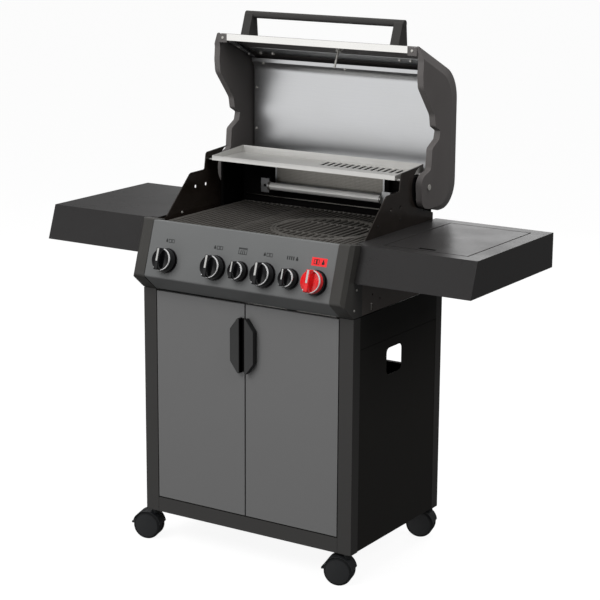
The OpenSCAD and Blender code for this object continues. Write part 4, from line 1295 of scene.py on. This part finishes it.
@dataclass
class Studio:
    """The floor, the walls' light, the lamps and the camera."""

    lens_mm: float = 112.2
    camera_at: tuple[float, float, float] = (2761.2, -4025.5, 1921.9)
    yaw: float = 0.571
    pitch: float = 0.236
    roll: float = 0.006
    base: float = 0.12
    floor_glow: float = 0.92
    glows: tuple[Glow, ...] = (
        Glow((-0.46, -0.86, -0.22), 0.72, 0.995, 0.95),
        Glow((0.0, 0.0, 1.0), 0.1, 1.0, 0.42),
        Glow((-0.38, 0.90, 0.21), 0.965, 0.995, 1.5),
    )
    boxes: tuple[SoftBox, ...] = (
        SoftBox("front_box", (-0.6, -2.7, 3.0), (0, 0, 0.8), (3.0, 1.8), 120),
        SoftBox("overhead_box", (0.0, 0.6, 3.4), (0, 0, 0.9), (2.6, 1.8), 60),
        SoftBox("right_box", (3.4, -0.6, 3.0), (0.3, 0, 1.1), (1.8, 1.8), 60),
        SoftBox("rear_box", (-1.0, 3.6, 2.4), (0, 0, 0.8), (2.4, 1.8), 40),
    )

    def build(self) -> None:
        """Builds the whole studio."""
        self.sweep()
        self.world()
        self.lights()
        self.camera()

    def sweep(self) -> None:
        """Lays a pale floor that turns up into walls far away; only the camera sees it."""
        profile = [(0.0, 0.0), (24.0, 0.0), (27.0, 1.0), (29.0, 4.0), (29.0, 18.0), (20.0, 26.0), (0.0, 29.0)]
        steps = 48
        points = [(r * math.cos(math.tau * k / steps), r * math.sin(math.tau * k / steps), z)
                  for r, z in profile[1:-1] for k in range(steps)] + [(0, 0, 0), (0, 0, profile[-1][1])]
        rings = len(profile) - 2
        faces = [(j * steps + k, j * steps + (k + 1) % steps, (j + 1) * steps + (k + 1) % steps, (j + 1) * steps + k)
                 for j in range(rings - 1) for k in range(steps)]
        faces += [(rings * steps, (k + 1) % steps, k) for k in range(steps)]
        last = (rings - 1) * steps
        faces += [(rings * steps + 1, last + k, last + (k + 1) % steps) for k in range(steps)]
        data = bpy.data.meshes.new("studio_floor")
        data.from_pydata(points, [], faces)
        data.shade_smooth()
        floor = stand("studio_floor", data)
        paint = bpy.data.materials.new("studio_paint")
        paint.use_nodes = True
        paint.node_tree.nodes.clear()
        shader = add(paint.node_tree, "ShaderNodeBsdfPrincipled", {
            "Base Color": (0.12, 0.12, 0.12, 1), "Roughness": 1.0, "Specular IOR Level": 0.0,
            "Emission Color": (1, 1, 1, 1), "Emission Strength": self.floor_glow})
        add(paint.node_tree, "ShaderNodeOutputMaterial", {"Surface": shader.outputs["BSDF"]})
        data.materials.append(paint)
        floor.visible_diffuse = floor.visible_glossy = floor.visible_shadow = False
        floor.visible_transmission = floor.visible_volume_scatter = False

    def world(self) -> None:
        """Lights the room by direction: a dim base and a few soft patches."""
        world = bpy.data.worlds.new("studio_world")
        bpy.context.scene.world = world
        world.use_nodes = True
        tree = world.node_tree
        tree.nodes.clear()
        toward = add(tree, "ShaderNodeTexCoord").outputs["Generated"]
        total: SocketValue = self.base
        for glow in self.glows:
            along = Vector(glow.toward).normalized()
            near = add(tree, "ShaderNodeVectorMath", {0: toward, 1: tuple(along)}, operation="DOT_PRODUCT")
            patch = add(tree, "ShaderNodeMapRange", {
                "Value": near.outputs["Value"], "From Min": glow.start, "From Max": glow.full,
                "To Max": glow.strength}, interpolation_type="SMOOTHSTEP")
            total = add(tree, "ShaderNodeMath", {0: total, 1: patch.outputs["Result"]}, operation="ADD").outputs[0]
        back = add(tree, "ShaderNodeBackground", {"Color": (1, 1, 1, 1), "Strength": total})
        add(tree, "ShaderNodeOutputWorld", {"Surface": back.outputs["Background"]})
        bpy.context.scene.view_settings.view_transform = "Standard"

    def lights(self) -> None:
        """Adds the soft boxes, which shape the paint but don't show in its gloss."""
        for box in self.boxes:
            data = bpy.data.lights.new(box.name, "AREA")
            data.shape = "RECTANGLE"
            data.size, data.size_y = box.size
            data.energy = box.watts
            lamp = stand(box.name, data)
            lamp.location = box.at
            lamp.rotation_euler = (Vector(box.aim) - Vector(box.at)).to_track_quat("-Z", "Y").to_euler()
            lamp.visible_camera = lamp.visible_glossy = False

    def camera(self) -> None:
        """Stands the camera to the right of the grill, a little above it."""
        data = bpy.data.cameras.new("camera")
        data.lens = self.lens_mm
        data.sensor_width = 36.0
        data.clip_end = 100.0
        camera = stand("camera", data)
        x, y, z = (v * MM for v in self.camera_at)
        forward = Vector((-math.sin(self.yaw) * math.cos(self.pitch), math.cos(self.yaw) * math.cos(self.pitch),
                          -math.sin(self.pitch)))
        right = Vector((math.cos(self.yaw), math.sin(self.yaw), 0))
        up = right.cross(forward)
        level_right = right * math.cos(self.roll) + up * math.sin(self.roll)
        level_up = up * math.cos(self.roll) - right * math.sin(self.roll)
        turn = Matrix((level_right, level_up, -forward)).transposed()
        camera.matrix_world = Matrix.Translation((x, y + CART_FRONT, z)) @ turn.to_4x4()
        bpy.context.scene.camera = camera


def main() -> None:
    """Builds every sub-assembly in order, then the studio."""
    logging.basicConfig(level=logging.INFO, format="%(name)s: %(message)s")
    panel = ControlPanel()
    Cart().build()
    Doors().build()
    panel.build()
    for index in range(1, 7):
        Knob(index, panel).build()
    Firebox().build()
    Grates().build()
    softened("warming_rack", STEEL_RACK, "warming_rack_body", 0.4)
    Hood().build()
    Shelves().build()
    for corner in ("fl", "fr", "rl", "rr"):
        Caster(corner).build()
    Studio().build()


if __name__ == "__main__":
    main()
